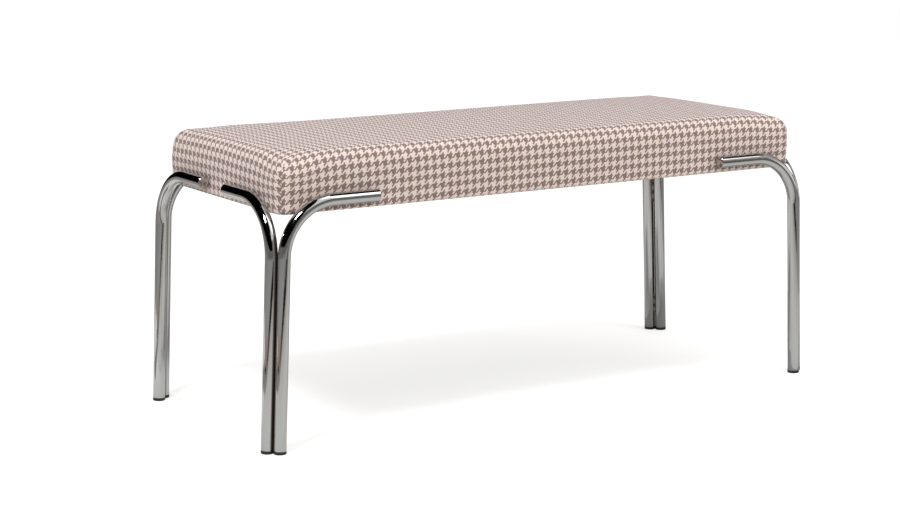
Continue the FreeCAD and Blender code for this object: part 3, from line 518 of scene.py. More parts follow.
def timber_finish(name, pale, dark, grain_mm, along):
    """Planed timber: noise of the grain's width, stretched along one axis, between two tones."""
    finish, wood = empty_finish(name)
    spot = add(wood, "ShaderNodeTexCoord")
    squeeze = [1000 / grain_mm] * 3
    squeeze[along] /= GRAIN_STRETCH
    laid = add(wood, "ShaderNodeMapping", {"Vector": spot.outputs["Object"], "Scale": squeeze})
    fibre = add(wood, "ShaderNodeTexNoise", {"Vector": laid.outputs[0], "Scale": 1.0, "Detail": 5.0,
                                             "Distortion": 0.6})
    rings = add(wood, "ShaderNodeMapRange",
                {"Value": fibre.outputs["Fac"], "From Min": 0.35, "From Max": 0.65})
    colour = add(wood, "ShaderNodeMix",
                 {"Factor": rings.outputs[0], 6: linear(dark), 7: linear(pale)}, data_type="RGBA")
    ridge = add(wood, "ShaderNodeBump",
                {"Height": fibre.outputs["Fac"], "Strength": 0.3, "Distance": 0.0003})
    surface = add(wood, "ShaderNodeBsdfPrincipled",
                  {"Base Color": colour.outputs[2], "Roughness": 0.68, "Normal": ridge.outputs[0]})
    add(wood, "ShaderNodeOutputMaterial", {"Surface": surface.outputs[0]})
    return finish


softwood_along = timber_finish("planed spruce along the bench", "#e2c79b", "#c39a63", GRAIN_WIDTH_MM, 0)
softwood_across = timber_finish("planed spruce across the bench", "#e2c79b", "#c39a63", GRAIN_WIDTH_MM, 1)
beech = timber_finish("turned beech", "#d9b48a", "#bd8d60", BEECH_GRAIN_MM, 0)
plywood = timber_finish("birch plywood", "#e3cda2", "#cfae7b", VENEER_GRAIN_MM, 0)

ply = plywood.node_tree
one_ply = PLY_THICKNESS_MM / 1000
height = add(ply, "ShaderNodeSeparateXYZ", {0: ply.nodes["Texture Coordinate"].outputs["Object"]})
layer = add(ply, "ShaderNodeMath", {0: height.outputs["Z"], 1: one_ply}, operation="PINGPONG")
edge = add(ply, "ShaderNodeMapRange", {"Value": layer.outputs[0], "From Max": one_ply, "To Max": 0.5})
layered = add(ply, "ShaderNodeMix",
              {"Factor": edge.outputs[0], 6: ply.nodes["Mix"].outputs[2], 7: linear("#a9804c")},
              data_type="RGBA")
ply.links.new(layered.outputs[2], ply.nodes["Principled BSDF"].inputs["Base Color"])

# %% [markdown]
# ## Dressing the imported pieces
#
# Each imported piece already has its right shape, so it only changes material. A short list pairs
# the start of a piece's name with its finish, and the loop says how many pieces each one took.

# %% Hand out the finishes
FINISH_OF = {
    "leg_": chrome,
    "weld_bead_": bead_finish,
    "arm_end_caps": cap_finish,
    "foot_plugs": plastic,
    "arm_inserts": zinc,
    "arm_washers": zinc,
    "arm_bolts": zinc,
    "back_rail": softwood_along,
    "front_rail": softwood_along,
    "right_end_rail": softwood_across,
    "left_end_rail": softwood_across,
    "right_cross_member": softwood_across,
    "left_cross_member": softwood_across,
    "corner_block_": softwood_across,
    "frame_dowels": beech,
    "seat_deck": plywood,
}
for start, finish in FINISH_OF.items():
    dressed = [node for name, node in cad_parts.items() if name.startswith(start)]
    for node in dressed:
        node.data.materials.clear()
        node.data.materials.append(finish)
    print(len(dressed), "x", start, "in", finish.name)

# %% [markdown]
# ## Houndstooth
#
# Houndstooth is one of the oldest woven checks. Groups of four light and four dark yarns run
# both ways, and the weave is a twill: each yarn passes over two and under two, one step further
# in every row. Where like crosses like, a plain light or dark block shows. Where light crosses
# dark, the twill's steps make the slanting teeth. So nothing is drawn here. The material counts
# yarns from the cloth's own coordinates, decides which yarn lies on top, and takes its colour.
#
# The cloth's coordinates are a UV map in metres, flat on the seat and carried over its edges.

# %% The weave
YARN_PITCH_MM = {"X": 1.845, "Y": 1.8625}
YARNS_IN_GROUP = 4
TWILL_REPEAT = 4
LIGHT_CREAM, LIGHT_PINK = "#e4d4c9", "#e3cec6"
DARK_BROWN, DARK_MAUVE = "#88756b", "#84716f"

houndstooth, tree = empty_finish("woven houndstooth upholstery cloth")
cloth = add(tree, "ShaderNodeUVMap", uv_map="cloth")
split = add(tree, "ShaderNodeSeparateXYZ", {0: cloth.outputs["UV"]})
counted, grouped, rounded = [], [], []
for axis in ("X", "Y"):
    yarn = add(tree, "ShaderNodeMath", {0: split.outputs[axis], 1: 1000 / YARN_PITCH_MM[axis]},
               operation="MULTIPLY")
    number = add(tree, "ShaderNodeMath", {0: yarn.outputs[0]}, operation="FLOOR")
    within = add(tree, "ShaderNodeMath", {0: number.outputs[0], 1: 2.0 * YARNS_IN_GROUP},
                 operation="FLOORED_MODULO")
    light = add(tree, "ShaderNodeMath", {0: within.outputs[0], 1: YARNS_IN_GROUP - 0.5},
                operation="LESS_THAN")
    bow = add(tree, "ShaderNodeMath", {0: yarn.outputs[0], 1: 0.5}, operation="PINGPONG")
    counted.append(number)
    grouped.append(light)
    rounded.append(bow)

step = add(tree, "ShaderNodeMath", {0: counted[0].outputs[0], 1: counted[1].outputs[0]}, operation="SUBTRACT")
place_in_twill = add(tree, "ShaderNodeMath", {0: step.outputs[0], 1: float(TWILL_REPEAT)},
                     operation="FLOORED_MODULO")
on_top = add(tree, "ShaderNodeMath", {0: place_in_twill.outputs[0], 1: TWILL_REPEAT / 2 - 0.5},
             operation="GREATER_THAN")
shown = add(tree, "ShaderNodeMix", {"Factor": on_top.outputs[0], 2: grouped[1].outputs[0],
                                    3: grouped[0].outputs[0]})
relief = add(tree, "ShaderNodeMix", {"Factor": on_top.outputs[0], 2: rounded[1].outputs[0],
                                     3: rounded[0].outputs[0]})

# %% The yarn's colour and hand, with painted shade between the yarns
DYE_LOT_MM = 30.0
FIBRE_MM = 0.5
lots = add(tree, "ShaderNodeTexNoise",
           {"Vector": cloth.outputs["UV"], "Scale": 1000 / DYE_LOT_MM, "Detail": 2.0})
lot = add(tree, "ShaderNodeMapRange", {"Value": lots.outputs["Fac"], "From Min": 0.35, "From Max": 0.65})
fibres = add(tree, "ShaderNodeTexNoise",
             {"Vector": cloth.outputs["UV"], "Scale": 1000 / FIBRE_MM, "Detail": 3.0})
light_yarn = add(tree, "ShaderNodeMix",
                 {"Factor": lot.outputs[0], 6: linear(LIGHT_CREAM), 7: linear(LIGHT_PINK)}, data_type="RGBA")
dark_yarn = add(tree, "ShaderNodeMix",
                {"Factor": lot.outputs[0], 6: linear(DARK_BROWN), 7: linear(DARK_MAUVE)}, data_type="RGBA")
yarn_colour = add(tree, "ShaderNodeMix", {"Factor": shown.outputs[0], 6: dark_yarn.outputs[2],
                                          7: light_yarn.outputs[2]}, data_type="RGBA")
flecks = add(tree, "ShaderNodeMapRange", {"Value": fibres.outputs["Fac"], "To Min": 0.86, "To Max": 1.12})
# Near each yarn's edges the colour is darkened: painted shade in the valleys between yarns.
painted_valley_shade = add(tree, "ShaderNodeMapRange", {"Value": relief.outputs[0], "From Max": 0.25, "To Min": 0.8})
depth = add(tree, "ShaderNodeMath", {0: flecks.outputs[0], 1: painted_valley_shade.outputs[0]}, operation="MULTIPLY")
woven_colour = add(tree, "ShaderNodeMix", {"Factor": 1.0, 6: yarn_colour.outputs[2], 7: depth.outputs[0]},
                   data_type="RGBA", blend_type="MULTIPLY")
heights = add(tree, "ShaderNodeMath", {0: relief.outputs[0], 1: fibres.outputs["Fac"]}, operation="ADD")
weave_bump = add(tree, "ShaderNodeBump", {"Height": heights.outputs[0], "Strength": 0.5, "Distance": 0.0005})
surface = add(tree, "ShaderNodeBsdfPrincipled",
              {"Base Color": woven_colour.outputs[2], "Roughness": 0.9, "Specular IOR Level": 0.25,
               "Sheen Weight": 0.2, "Sheen Roughness": 0.5, "Sheen Tint": linear("#dfe6ff"),
               "Normal": weave_bump.outputs[0]})
add(tree, "ShaderNodeOutputMaterial", {"Surface": surface.outputs[0]})
print("houndstooth is woven by", len(tree.nodes), "nodes")

# %% [markdown]
# ## The cushion's shape
#
# The seat is a foam pad on a timber frame with one sewn cover pulled over it: flat, firm sides,
# soft upper edges, a low crown, and one tight fold down each upright corner. It could be a
# bevelled box, but a cover is easier to understand as cloth. The middle of the top is a plain
# grid. Outside it, columns of points run over the shoulder, down the side and in under the
# frame. At the corners the columns fan out from one point. Because every point is worked out
# from the cloth, the cloth's coordinates come with it, and the check follows the seat exactly.

# %% Sizes of the cushion
END, SIDE = 0.500, 0.200
CORNER_RADIUS = 0.028
SHOULDER_DROP = 0.026
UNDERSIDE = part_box("fabric_cover")[0].z
SHOULDER_HEIGHT = 0.456
CROWN, FRONT_LIFT, BACK_DROP = 0.004, 0.0035, 0.002
CORNER_TIGHTNESS = {"front right": 0.018, "back right": 0.022, "back left": 0.027, "front left": 0.020}
HEM_RADIUS = 0.004
GRID = 0.008
FAN_DEGREES = np.array([0, 11, 22, 32, 40, 45, 50, 58, 68, 79, 90], float)

inner_end, inner_side = END - CORNER_RADIUS, SIDE - CORNER_RADIUS
grid_x = np.linspace(-inner_end, inner_end, 2 * round(inner_end / GRID) + 1)
grid_y = np.linspace(-inner_side, inner_side, 2 * round(inner_side / GRID) + 1)
print("top grid:", len(grid_x), "x", len(grid_y), "points")


def pad_height(x, y):
    """How high the pad stands before it swells.

    The shoulder's height, plus a crown that falls off with the square of the distance across
    and the fourth power along, plus a small lift at the front, less a small drop at the back.
    """
    across, along = y / SIDE, x / END
    crown = CROWN * (1 - across**2) * (1 - along**4)
    front = np.clip(-across, 0, 1) ** 2
    back = np.clip(across, 0, 1) ** 2
    return SHOULDER_HEIGHT + crown + FRONT_LIFT * front - BACK_DROP * back


# %% One column of the cover, from the top's edge to the underside
SHOULDER_STEPS, SIDE_STEPS, HEM_STEPS, UNDER_STEPS = 7, 9, 3, 4
shoulder_turn = np.radians(np.linspace(0, 90, SHOULDER_STEPS + 1)[1:])
side_share = np.linspace(0, 1, SIDE_STEPS + 1)[1:]
hem_turn = np.radians(np.linspace(0, 90, HEM_STEPS + 1)[1:])
hem_reach = np.linspace(0, 1, UNDER_STEPS + 1)[1:-1]
ROWS = len(shoulder_turn) + len(side_share) + len(hem_turn) + len(hem_reach)
print("rows down a column:", ROWS)


def column_profile(top):
    """Outward reach, height and length of cloth down a column, for each top height.

    Over the shoulder the reach is the corner radius times the sine of the turn, and the drop is
    the shoulder's drop times one less the cosine. Then comes the straight side, a small quarter
    round at the hem, and the run inward under the frame.
    """
    top = np.asarray(top, float)[:, None]
    side_top, side_foot = top - SHOULDER_DROP, UNDERSIDE + HEM_RADIUS
    reach_parts = [
        CORNER_RADIUS * np.sin(shoulder_turn)[None, :] + 0 * top,
        CORNER_RADIUS + 0 * side_share[None, :] + 0 * top,
        CORNER_RADIUS - HEM_RADIUS * (1 - np.cos(hem_turn))[None, :] + 0 * top,
        (CORNER_RADIUS - HEM_RADIUS) * (1 - hem_reach)[None, :] + 0 * top,
    ]
    height_parts = [
        top - SHOULDER_DROP * (1 - np.cos(shoulder_turn))[None, :],
        side_top + (side_foot - side_top) * side_share[None, :],
        side_foot - HEM_RADIUS * np.sin(hem_turn)[None, :] + 0 * top,
        UNDERSIDE + 0 * hem_reach[None, :] + 0 * top,
    ]
    reach, height = np.hstack(reach_parts), np.hstack(height_parts)
    from_edge = np.hstack([0 * top, reach]), np.hstack([top, height])
    steps = np.hypot(np.diff(from_edge[0], axis=1), np.diff(from_edge[1], axis=1))
    return reach, height, np.cumsum(steps, axis=1)


# %% The columns round the seat
def corner_fan(x, y, first_degrees):
    """The fan of columns at a corner: the corner point again and again, facing step by step."""
    turns = np.radians(first_degrees + FAN_DEGREES)
    facing = np.column_stack([np.cos(turns), np.sin(turns)])
    return np.column_stack([np.full(len(turns), x), np.full(len(turns), y)]), facing


def straight_run(xs, ys, facing):
    """The columns of a straight side, without its two end points, all facing one way."""
    points = np.column_stack(np.broadcast_arrays(xs, ys))[1:-1]
    return points, np.tile(np.array(facing, float), (len(points), 1))


runs = [
    straight_run(grid_x, -inner_side, (0, -1)),
    corner_fan(inner_end, -inner_side, -90),
    straight_run(inner_end, grid_y, (1, 0)),
    corner_fan(inner_end, inner_side, 0),
    straight_run(grid_x[::-1], inner_side, (0, 1)),
    corner_fan(-inner_end, inner_side, 90),
    straight_run(-inner_end, grid_y[::-1], (-1, 0)),
    corner_fan(-inner_end, -inner_side, 180),
]
root_xy = np.vstack([points for points, _ in runs])
facing_xy = np.vstack([facing for _, facing in runs])
columns = len(root_xy)
print("columns round the seat:", columns, "with", ROWS, "rows each")

# %% How far each corner is pulled tight
def square_up(tight):
    """How far out the cloth of a corner of radius r lies, as a multiple of the fan's radius R.

    With a the fan's angle and q = R - r, the corner's arc is met at the distance
    q (cos a + sin a) + root of r squared less q squared (1 - sin 2a), where that lies on the arc.
    Elsewhere the fan meets a straight side, at R over the larger of cos a and sin a.
    """
    turns = np.radians(FAN_DEGREES)
    spare = CORNER_RADIUS - tight
    inside = np.maximum(tight**2 - spare**2 * (1 - np.sin(2 * turns)), 0)
    arc = spare * (np.cos(turns) + np.sin(turns)) + np.sqrt(inside)
    straight = CORNER_RADIUS / np.maximum(np.cos(turns), np.sin(turns))
    on_arc = arc * np.minimum(np.cos(turns), np.sin(turns)) >= spare
    return np.where(on_arc, arc, straight) / CORNER_RADIUS


pulled = np.ones(columns)
run_starts = np.cumsum([0] + [len(points) for points, _ in runs])
for (corner, tight), start in zip(CORNER_TIGHTNESS.items(), run_starts[1::2]):
    further = square_up(tight)
    pulled[start : start + len(further)] = further
    most = float(further.max() - 1) * CORNER_RADIUS * 1000
    print(corner, "corner lies up to", round(most, 1), "mm further out")

# %% Points of the whole cover
plane_x, plane_y = np.meshgrid(grid_x, grid_y, indexing="ij")
top_points = np.column_stack([plane_x.ravel(), plane_y.ravel(), pad_height(plane_x, plane_y).ravel()])
under_points = top_points * [1, 1, 0] + [0, 0, UNDERSIDE]
reach, height, cloth_length = column_profile(pad_height(root_xy[:, 0], root_xy[:, 1]))
ring_points = np.dstack([
    root_xy[:, None, 0] + reach * pulled[:, None] * facing_xy[:, None, 0],
    root_xy[:, None, 1] + reach * pulled[:, None] * facing_xy[:, None, 1],
    height,
]).reshape(-1, 3)
cover_points = np.vstack([top_points, ring_points, under_points])
print("cover:", len(top_points), "points on top,", len(ring_points), "round it,", len(under_points), "below")

# %% Faces of the whole cover
nx, ny = len(grid_x), len(grid_y)
top_number = np.arange(nx * ny).reshape(nx, ny)
ring_number = len(top_points) + np.arange(columns * ROWS).reshape(columns, ROWS)
under_number = len(top_points) + len(ring_points) + top_number

nearest_x = np.abs(root_xy[:, :1] - grid_x[None, :]).argmin(1)
nearest_y = np.abs(root_xy[:, 1:] - grid_y[None, :]).argmin(1)
top_root = top_number[nearest_x, nearest_y][:, None]
under_root = under_number[nearest_x, nearest_y][:, None]
strand = np.hstack([top_root, ring_number, under_root])

flat_quads = quads(top_number)
under_quads = turned_over(quads(under_number))
side_quads = turned_over(quads(np.vstack([strand, strand[:1]])))
side_faces = [tuple(dict.fromkeys(face)) for face in side_quads.tolist()]
cover_faces = [*flat_quads.tolist(), *side_faces, *under_quads.tolist()]
cushion = new_piece("houndstooth_cushion", cover_points, cover_faces, houndstooth)

# %% [markdown]
# ## Cloth coordinates
#
# The UV map tells the weave where each point lies on the uncut cloth, in metres. On top that is
# simply x and y. Down the front, x stays and y goes on by the length of cloth that has passed
# over the edge. Down an end, y stays and x goes on. On a rounded corner each half of the fan
# belongs to its own side, so the two checks run into each other at the fold, as they do where an
# upholsterer tucks the corner. The columns are told apart by which way they face.

# %% The cloth map
def cloth_place(root, facing, reach_here, length_here, to_side):
    """Cloth coordinates of points on a column that belongs to a long side or to an end.

    Along the edge it is the root's place plus how far round the corner the point lies, which is
    the corner radius times the arc sine of its sideways share. Across the edge it is the inner
    edge's place plus the cloth's length.
    """
    along_axis, across_axis = (0, 1) if to_side else (1, 0)
    sideways = np.arcsin(np.clip(facing[:, along_axis, None] * reach_here / CORNER_RADIUS, -1, 1))
    along = root[:, along_axis, None] + CORNER_RADIUS * sideways
    across = root[:, across_axis, None] + np.sign(root[:, across_axis, None]) * length_here
    return (along, across) if to_side else (across, along)


full_reach = np.hstack([np.zeros((columns, 1)), reach, np.zeros((columns, 1))])
full_length = np.hstack([np.zeros((columns, 1)), cloth_length,
                         cloth_length[:, -1:] + (CORNER_RADIUS - HEM_RADIUS) / (len(hem_reach) + 1)])
under_hem = np.arange(ROWS + 2)[None, :] > ROWS - len(hem_reach) - 1
round_reach = np.where(under_hem, CORNER_RADIUS, full_reach)
side_u, side_v = cloth_place(root_xy, facing_xy, round_reach, full_length, True)
end_u, end_v = cloth_place(root_xy, facing_xy, round_reach, full_length, False)

middle_facing = facing_xy + np.roll(facing_xy, -1, axis=0)
on_side = np.abs(middle_facing[:, 1]) > np.abs(middle_facing[:, 0])
left_u, left_v = np.where(on_side[:, None], side_u, end_u), np.where(on_side[:, None], side_v, end_v)
right_u = np.where(on_side[:, None], np.roll(side_u, -1, axis=0), np.roll(end_u, -1, axis=0))
right_v = np.where(on_side[:, None], np.roll(side_v, -1, axis=0), np.roll(end_v, -1, axis=0))
side_uv = np.stack([
    np.stack([left_u[:, :-1], left_u[:, 1:], right_u[:, 1:], right_u[:, :-1]], axis=-1),
    np.stack([left_v[:, :-1], left_v[:, 1:], right_v[:, 1:], right_v[:, :-1]], axis=-1),
], axis=-1).reshape(-1, 4, 2)
kept_corner = np.array([[face.index(corner) == place for place, corner in enumerate(face)]
                        for face in side_quads.tolist()])
flat_uv = cover_points[flat_quads][:, :, :2].reshape(-1, 2)
under_uv = cover_points[under_quads][:, :, :2].reshape(-1, 2)
cloth_uv = np.vstack([flat_uv, side_uv[kept_corner], under_uv])
print("cloth map:", len(cloth_uv), "corners of faces")

# %% [markdown]
# An upholsterer pulls the cover by hand, more at the corners than in between, so the check never
# lies quite straight. Along the front and back, and along the two ends, a short table says how
# far the cloth slid: each row has a place along the edge in metres, and the slides along u and v
# in millimetres. On top, each edge's slide counts for more the nearer it is: the weights are one
# over the square of the distance.

# %% The hand of the upholsterer
SIDE_SLIDES = [(-0.50, 1.9, 4.2), (-0.45, 1.8, 2.6), (-0.36, 1.4, 1.7), (-0.25, 0.55, 0.0),
               (-0.12, 0.45, -1.8), (0.0, 0.45, -1.8), (0.12, 0.4, -1.7), (0.25, 0.25, -1.5),
               (0.36, 0.15, -1.2), (0.50, 0.2, -0.9)]
END_SLIDES = [(-0.2, 4.5, 9.0), (-0.14, 3.9, 8.6), (-0.105, 2.9, 6.0), (-0.05, 0.8, 4.6),
              (0.005, -1.4, 3.1), (0.06, -1.5, 2.6), (0.2, -1.3, 2.6)]
NEAREST_COUNTED = 0.002


def slide(along, table):
    """The slide in metres, along u and v, of cloth at these places along an edge."""
    places, slide_u, slide_v = np.transpose(table)
    return np.stack([np.interp(along, places, slide_u), np.interp(along, places, slide_v)], -1) / 1000


def top_slide(u, v):
    """The slides of the four edges, weighed by one over the squared distance to each edge.

    Two millimetres are added to every distance, so that no weight is endless.
    """
    to_edge = np.stack([inner_side + v, inner_side - v, inner_end + u, inner_end - u], -1)
    weight = 1 / (np.maximum(to_edge, 0) + NEAREST_COUNTED) ** 2
    weight /= weight.sum(-1, keepdims=True)
    of_sides, of_ends = weight[:, :2].sum(-1, keepdims=True), weight[:, 2:].sum(-1, keepdims=True)
    return of_sides * slide(u, SIDE_SLIDES) + of_ends * slide(v, END_SLIDES)


loops_on_side = np.broadcast_to(on_side[:, None, None], (columns, ROWS + 1, 4)).reshape(-1, 4)[kept_corner]
side_loops = side_uv[kept_corner]
slides = np.where(loops_on_side[:, None], slide(side_loops[:, 0], SIDE_SLIDES),
                  slide(side_loops[:, 1], END_SLIDES))
cloth_uv += np.vstack([top_slide(*flat_uv.T), slides, np.zeros_like(under_uv)])
cloth_map = cushion.data.uv_layers.new(name="cloth")
cloth_map.data.foreach_set("uv", cloth_uv.astype(np.float32).ravel())
print("cloth map spans", cloth_uv.min(0).round(3), "to", cloth_uv.max(0).round(3))

# %% [markdown]
# ## Swelling the cushion
#
# Foam pushes the cover outward, and the cover pulls back. A short cloth simulation with air
# pressure inside and no gravity does the same. The lower sides and the underside are stapled to
# timber, so those points are held, and the top and shoulders are free. The pad is firm, so each
# move is made smaller the longer it is: a move of length L becomes L x M / (L + M), which comes
# near to M but never reaches it.

# %% Simulate the cover
PRESSURE = 4.0
LAST_FRAME = 20
MOST_TRAVEL = 0.001
HELD_BELOW, HELD_FADE = 0.425, 0.02


def swell(piece, rest):
    """Cloth under pressure from frame 1 to the last, then every move shortened as told above."""
    held = piece.vertex_groups.new(name="stapled")
    hold = np.clip((HELD_BELOW + HELD_FADE - rest[:, 2]) / HELD_FADE, 0, 1)
    for share in np.unique(hold.round(2)):
        members = np.flatnonzero(hold.round(2) == share).tolist()
        held.add(members, float(share), "REPLACE")
    cover = piece.modifiers.new("cover", "CLOTH")
    cover.settings.quality = 5
    cover.settings.mass = 0.3
    cover.settings.tension_stiffness = 20
    cover.settings.compression_stiffness = 20
    cover.settings.shear_stiffness = 8
    cover.settings.bending_stiffness = 2
    cover.settings.use_pressure = True
    cover.settings.uniform_pressure_force = PRESSURE
    cover.settings.effector_weights.gravity = 0
    cover.settings.vertex_group_mass = "stapled"
    cover.point_cache.frame_end = LAST_FRAME
    for step_number in range(1, LAST_FRAME + 1):
        bpy.context.scene.frame_set(step_number)
    made = piece.evaluated_get(bpy.context.evaluated_depsgraph_get()).data
    moved = np.empty(len(rest) * 3, np.float32)
    made.vertices.foreach_get("co", moved)
    piece.modifiers.remove(cover)
    bpy.context.scene.frame_set(1)
    travel = moved.reshape(-1, 3) - rest
    length = np.linalg.norm(travel, axis=1, keepdims=True)
    print("cover swelled by up to", round(float(length.max() * 1000), 1), "mm before it was shortened")
    return rest + travel * MOST_TRAVEL / (length + MOST_TRAVEL)


soft_points = cover_points.copy()
soft_points = swell(cushion, cover_points)
print("highest point of the pad:", round(float(soft_points[:, 2].max()), 4))

# %% [markdown]
# ## How the cover settles
#
# A cover is cut flat and pulled down hardest at its front corners, so the shoulder sinks there.
# At the back left the foam stands a little higher and keeps a small peak. The sides lean in a
# little towards the top, because foam gives way more than timber. Each arm is bolted through the
# cover and presses it in. These are small moves worked out for every point.

# %% Sizes of the small moves
# A move begins at its FROM value and has its full size from its FULL value on.
CORNER_SINK = {(1, -1): 0.0052, (-1, -1): 0.0080, (1, 1): 0.0005, (-1, 1): 0.0004}
SINK_WITHIN, SINK_REACH = 0.03, 0.038
SINK_FROM, SINK_FULL = 0.395, 0.45
END_LEAN, SIDE_LEAN = 0.0040, 0.0011
LEAN_FROM, LEAN_FULL = 0.405, 0.445
BACK_LIFT, BACK_LIFT_X, BACK_LIFT_REACH, BACK_LIFT_FULL_Y = 0.0022, -0.40, 0.09, 0.17
BACK_PEAK, BACK_PEAK_REACH = 0.0042, 0.026
ARM_PRESS, ARM_PRESS_REACH = 0.0016, 0.009
LONG_ARM_FROM, LONG_ARM_FULL = 0.325, 0.34
SHORT_ARM_FROM, SHORT_ARM_FULL = 0.03, 0.045
FACE_DEPTH, EDGE_BAND = 0.004, 0.05


def smooth_share(value, low, high):
    """0 below low, 1 above high, and 3t squared less 2t cubed between."""
    share = np.clip((value - low) / (high - low), 0, 1)
    return share**2 * (3 - 2 * share)


def bell(distance, reach):
    """1 at no distance, and e to the minus square of distance over reach elsewhere."""
    return np.exp(-((distance / reach) ** 2))


def outward(place, half):
    """The way out, as 1 or -1 at the two faces and falling to 0 over a band inside them."""
    return np.clip((np.abs(place) - half + EDGE_BAND) / EDGE_BAND, 0, 1) * np.sign(place)


# %% Sink the corners, lean the sides, press in the arms
x, y, z = soft_points.T
raised = smooth_share(z, SINK_FROM, SINK_FULL)
for (end, side), sink in CORNER_SINK.items():
    from_corner = np.hypot(x - end * END, y - side * SIDE)
    z = z - sink * raised * bell(np.maximum(from_corner - SINK_WITHIN, 0), SINK_REACH)
z = z + raised * BACK_LIFT * bell(x - BACK_LIFT_X, BACK_LIFT_REACH) * smooth_share(y, 0.0, BACK_LIFT_FULL_Y)
z = z + raised * BACK_PEAK * bell(np.hypot(x + END, y - SIDE), BACK_PEAK_REACH)
lean = smooth_share(z, LEAN_FROM, LEAN_FULL)
pressed = bell(z - ARM_HEIGHT, ARM_PRESS_REACH)
long_arm = pressed * smooth_share(np.abs(x), LONG_ARM_FROM, LONG_ARM_FULL) * (np.abs(y) > SIDE - FACE_DEPTH)
short_arm = pressed * smooth_share(np.abs(y), SHORT_ARM_FROM, SHORT_ARM_FULL) * (np.abs(x) > END - FACE_DEPTH)
soft_points = np.column_stack([
    x - outward(x, END) * (END_LEAN * lean * (x < 0) + ARM_PRESS * short_arm),
    y - outward(y, SIDE) * (SIDE_LEAN * lean + ARM_PRESS * long_arm),
    z,
])
print("highest point after settling:", round(float(soft_points[:, 2].max()), 4))

# %% [markdown]
# ## Folds at the corners
#
# At each upright corner the spare cloth is tucked in behind a vertical fold. Seen from outside
# it is a thin line: the cloth of the long side lies a little proud, and dives in beside the
# cloth of the end. Moving the fold's own column inward, and the columns beside it slightly out,
# draws that line without any extra pieces.

# %% Tuck the corners
FOLD_DEPTH, FOLD_DEGREES = 0.0012, 3.0
FOLD_LIP, LIP_DEGREES, LIP_BESIDE_DEGREES = 0.0005, 5.0, 6.0
FOLD_STARTS_ROW, FOLD_FADE_ROWS = 2, 4
slant = np.degrees(np.arctan2(np.abs(facing_xy[:, 0]), np.abs(facing_xy[:, 1])))
from_fold = slant - 45
lip = FOLD_LIP * bell(from_fold + LIP_BESIDE_DEGREES, LIP_DEGREES)
tuck = lip - FOLD_DEPTH * bell(from_fold, FOLD_DEGREES)
row_number = np.arange(ROWS)
fade = np.clip((row_number - FOLD_STARTS_ROW) / FOLD_FADE_ROWS, 0, 1) * (row_number < ROWS - len(hem_reach))
tuck_move = np.zeros((columns, ROWS, 3))
tuck_move[:, :, :2] = (tuck[:, None] * fade[None, :])[:, :, None] * facing_xy[:, None, :]
ring = slice(len(top_points), len(top_points) + len(ring_points))
soft_points[ring] += tuck_move.reshape(-1, 3)
print("the fold has its full depth on", int((fade == 1).sum()), "of", ROWS, "rows")

# %% Finish the cushion
cushion.data.vertices.foreach_set("co", soft_points.astype(np.float32).ravel())
cushion.data.update()

smooth = cushion.modifiers.new("smooth", "SUBSURF")
smooth.levels = smooth.render_levels = 1
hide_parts("foam_pad", "fabric_cover")
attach(cushion, "root")
print("the cushion is", [round(v, 3) for v in soft_points.max(0) - soft_points.min(0)], "metres")

# %% [markdown]
# ## The cloth under the seat
#
# A sheet of black spun-bonded polypropylene closes the underside and keeps dust out. Its edges
# are folded under and stapled every few centimetres, so between staples it hangs a very little.
# It is one grid whose height dips between the staples and towards the middle.

# %% Spun-bonded cloth
BOND_SPOT_MM = 1.2
FIBRE_CLUMP_MM = 1.111
dust_finish, tree = empty_finish("black spun-bonded polypropylene cloth")
place = add(tree, "ShaderNodeTexCoord")
spots = add(tree, "ShaderNodeTexVoronoi",
            {"Vector": place.outputs["Object"], "Scale": 1000 / BOND_SPOT_MM, "Randomness": 0.15})
threads = add(tree, "ShaderNodeTexNoise",
              {"Vector": place.outputs["Object"], "Scale": 1000 / FIBRE_CLUMP_MM, "Detail": 4.0})
tone = add(tree, "ShaderNodeMix",
           {"Factor": threads.outputs["Fac"], 6: linear("#161617"), 7: linear("#2c2c2e")}, data_type="RGBA")
raised = add(tree, "ShaderNodeMath", {0: spots.outputs["Distance"], 1: threads.outputs["Fac"]},
             operation="ADD")
bonded = add(tree, "ShaderNodeBump", {"Height": raised.outputs[0], "Strength": 0.4, "Distance": 0.0003})
surface = add(tree, "ShaderNodeBsdfPrincipled",
              {"Base Color": tone.outputs[2], "Roughness": 0.86, "Normal": bonded.outputs[0]})
add(tree, "ShaderNodeOutputMaterial", {"Surface": surface.outputs[0]})

# %% The dust cloth
CLOTH_THICKNESS = 0.0005
CLOTH_SAG = 0.0022
SCALLOP_SAG, SCALLOP_REACH, FLAT_EDGE = 0.0006, 0.03, 0.004
STAPLE_SPACING = 0.06
STAPLE_INSET = 0.009
cloth_low, cloth_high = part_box("dust_cover")
cloth_x = np.linspace(cloth_low.x, cloth_high.x, round((cloth_high.x - cloth_low.x) / GRID) + 1)
cloth_y = np.linspace(cloth_low.y, cloth_high.y, round((cloth_high.y - cloth_low.y) / GRID) + 1)
print("dust cloth grid:", len(cloth_x), "x", len(cloth_y), "points")


def cloth_sag(x, y):
    """How far the cloth hangs: a flat-bottomed bowl, with a small scallop between staples.

    The bowl is one less the eighth power of the share along, times one less the eighth power of
    the share across. The scallop is a cosine with the staples' spacing. It starts a few
    millimetres in, and fades by the factor e for every three centimetres from the edge.
    """
    along, across = x / cloth_high.x, y / cloth_high.y
    bowl = (1 - along**8) * (1 - across**8)
    to_edge = np.minimum(cloth_high.x - np.abs(x), cloth_high.y - np.abs(y))
    run = np.where(cloth_high.x - np.abs(x) < cloth_high.y - np.abs(y), y, x)
    wave = (1 - np.cos(2 * math.pi * run / STAPLE_SPACING)) / 2
    scallop = wave * np.exp(-to_edge / SCALLOP_REACH) * (to_edge > FLAT_EDGE)
    return CLOTH_SAG * bowl + SCALLOP_SAG * scallop


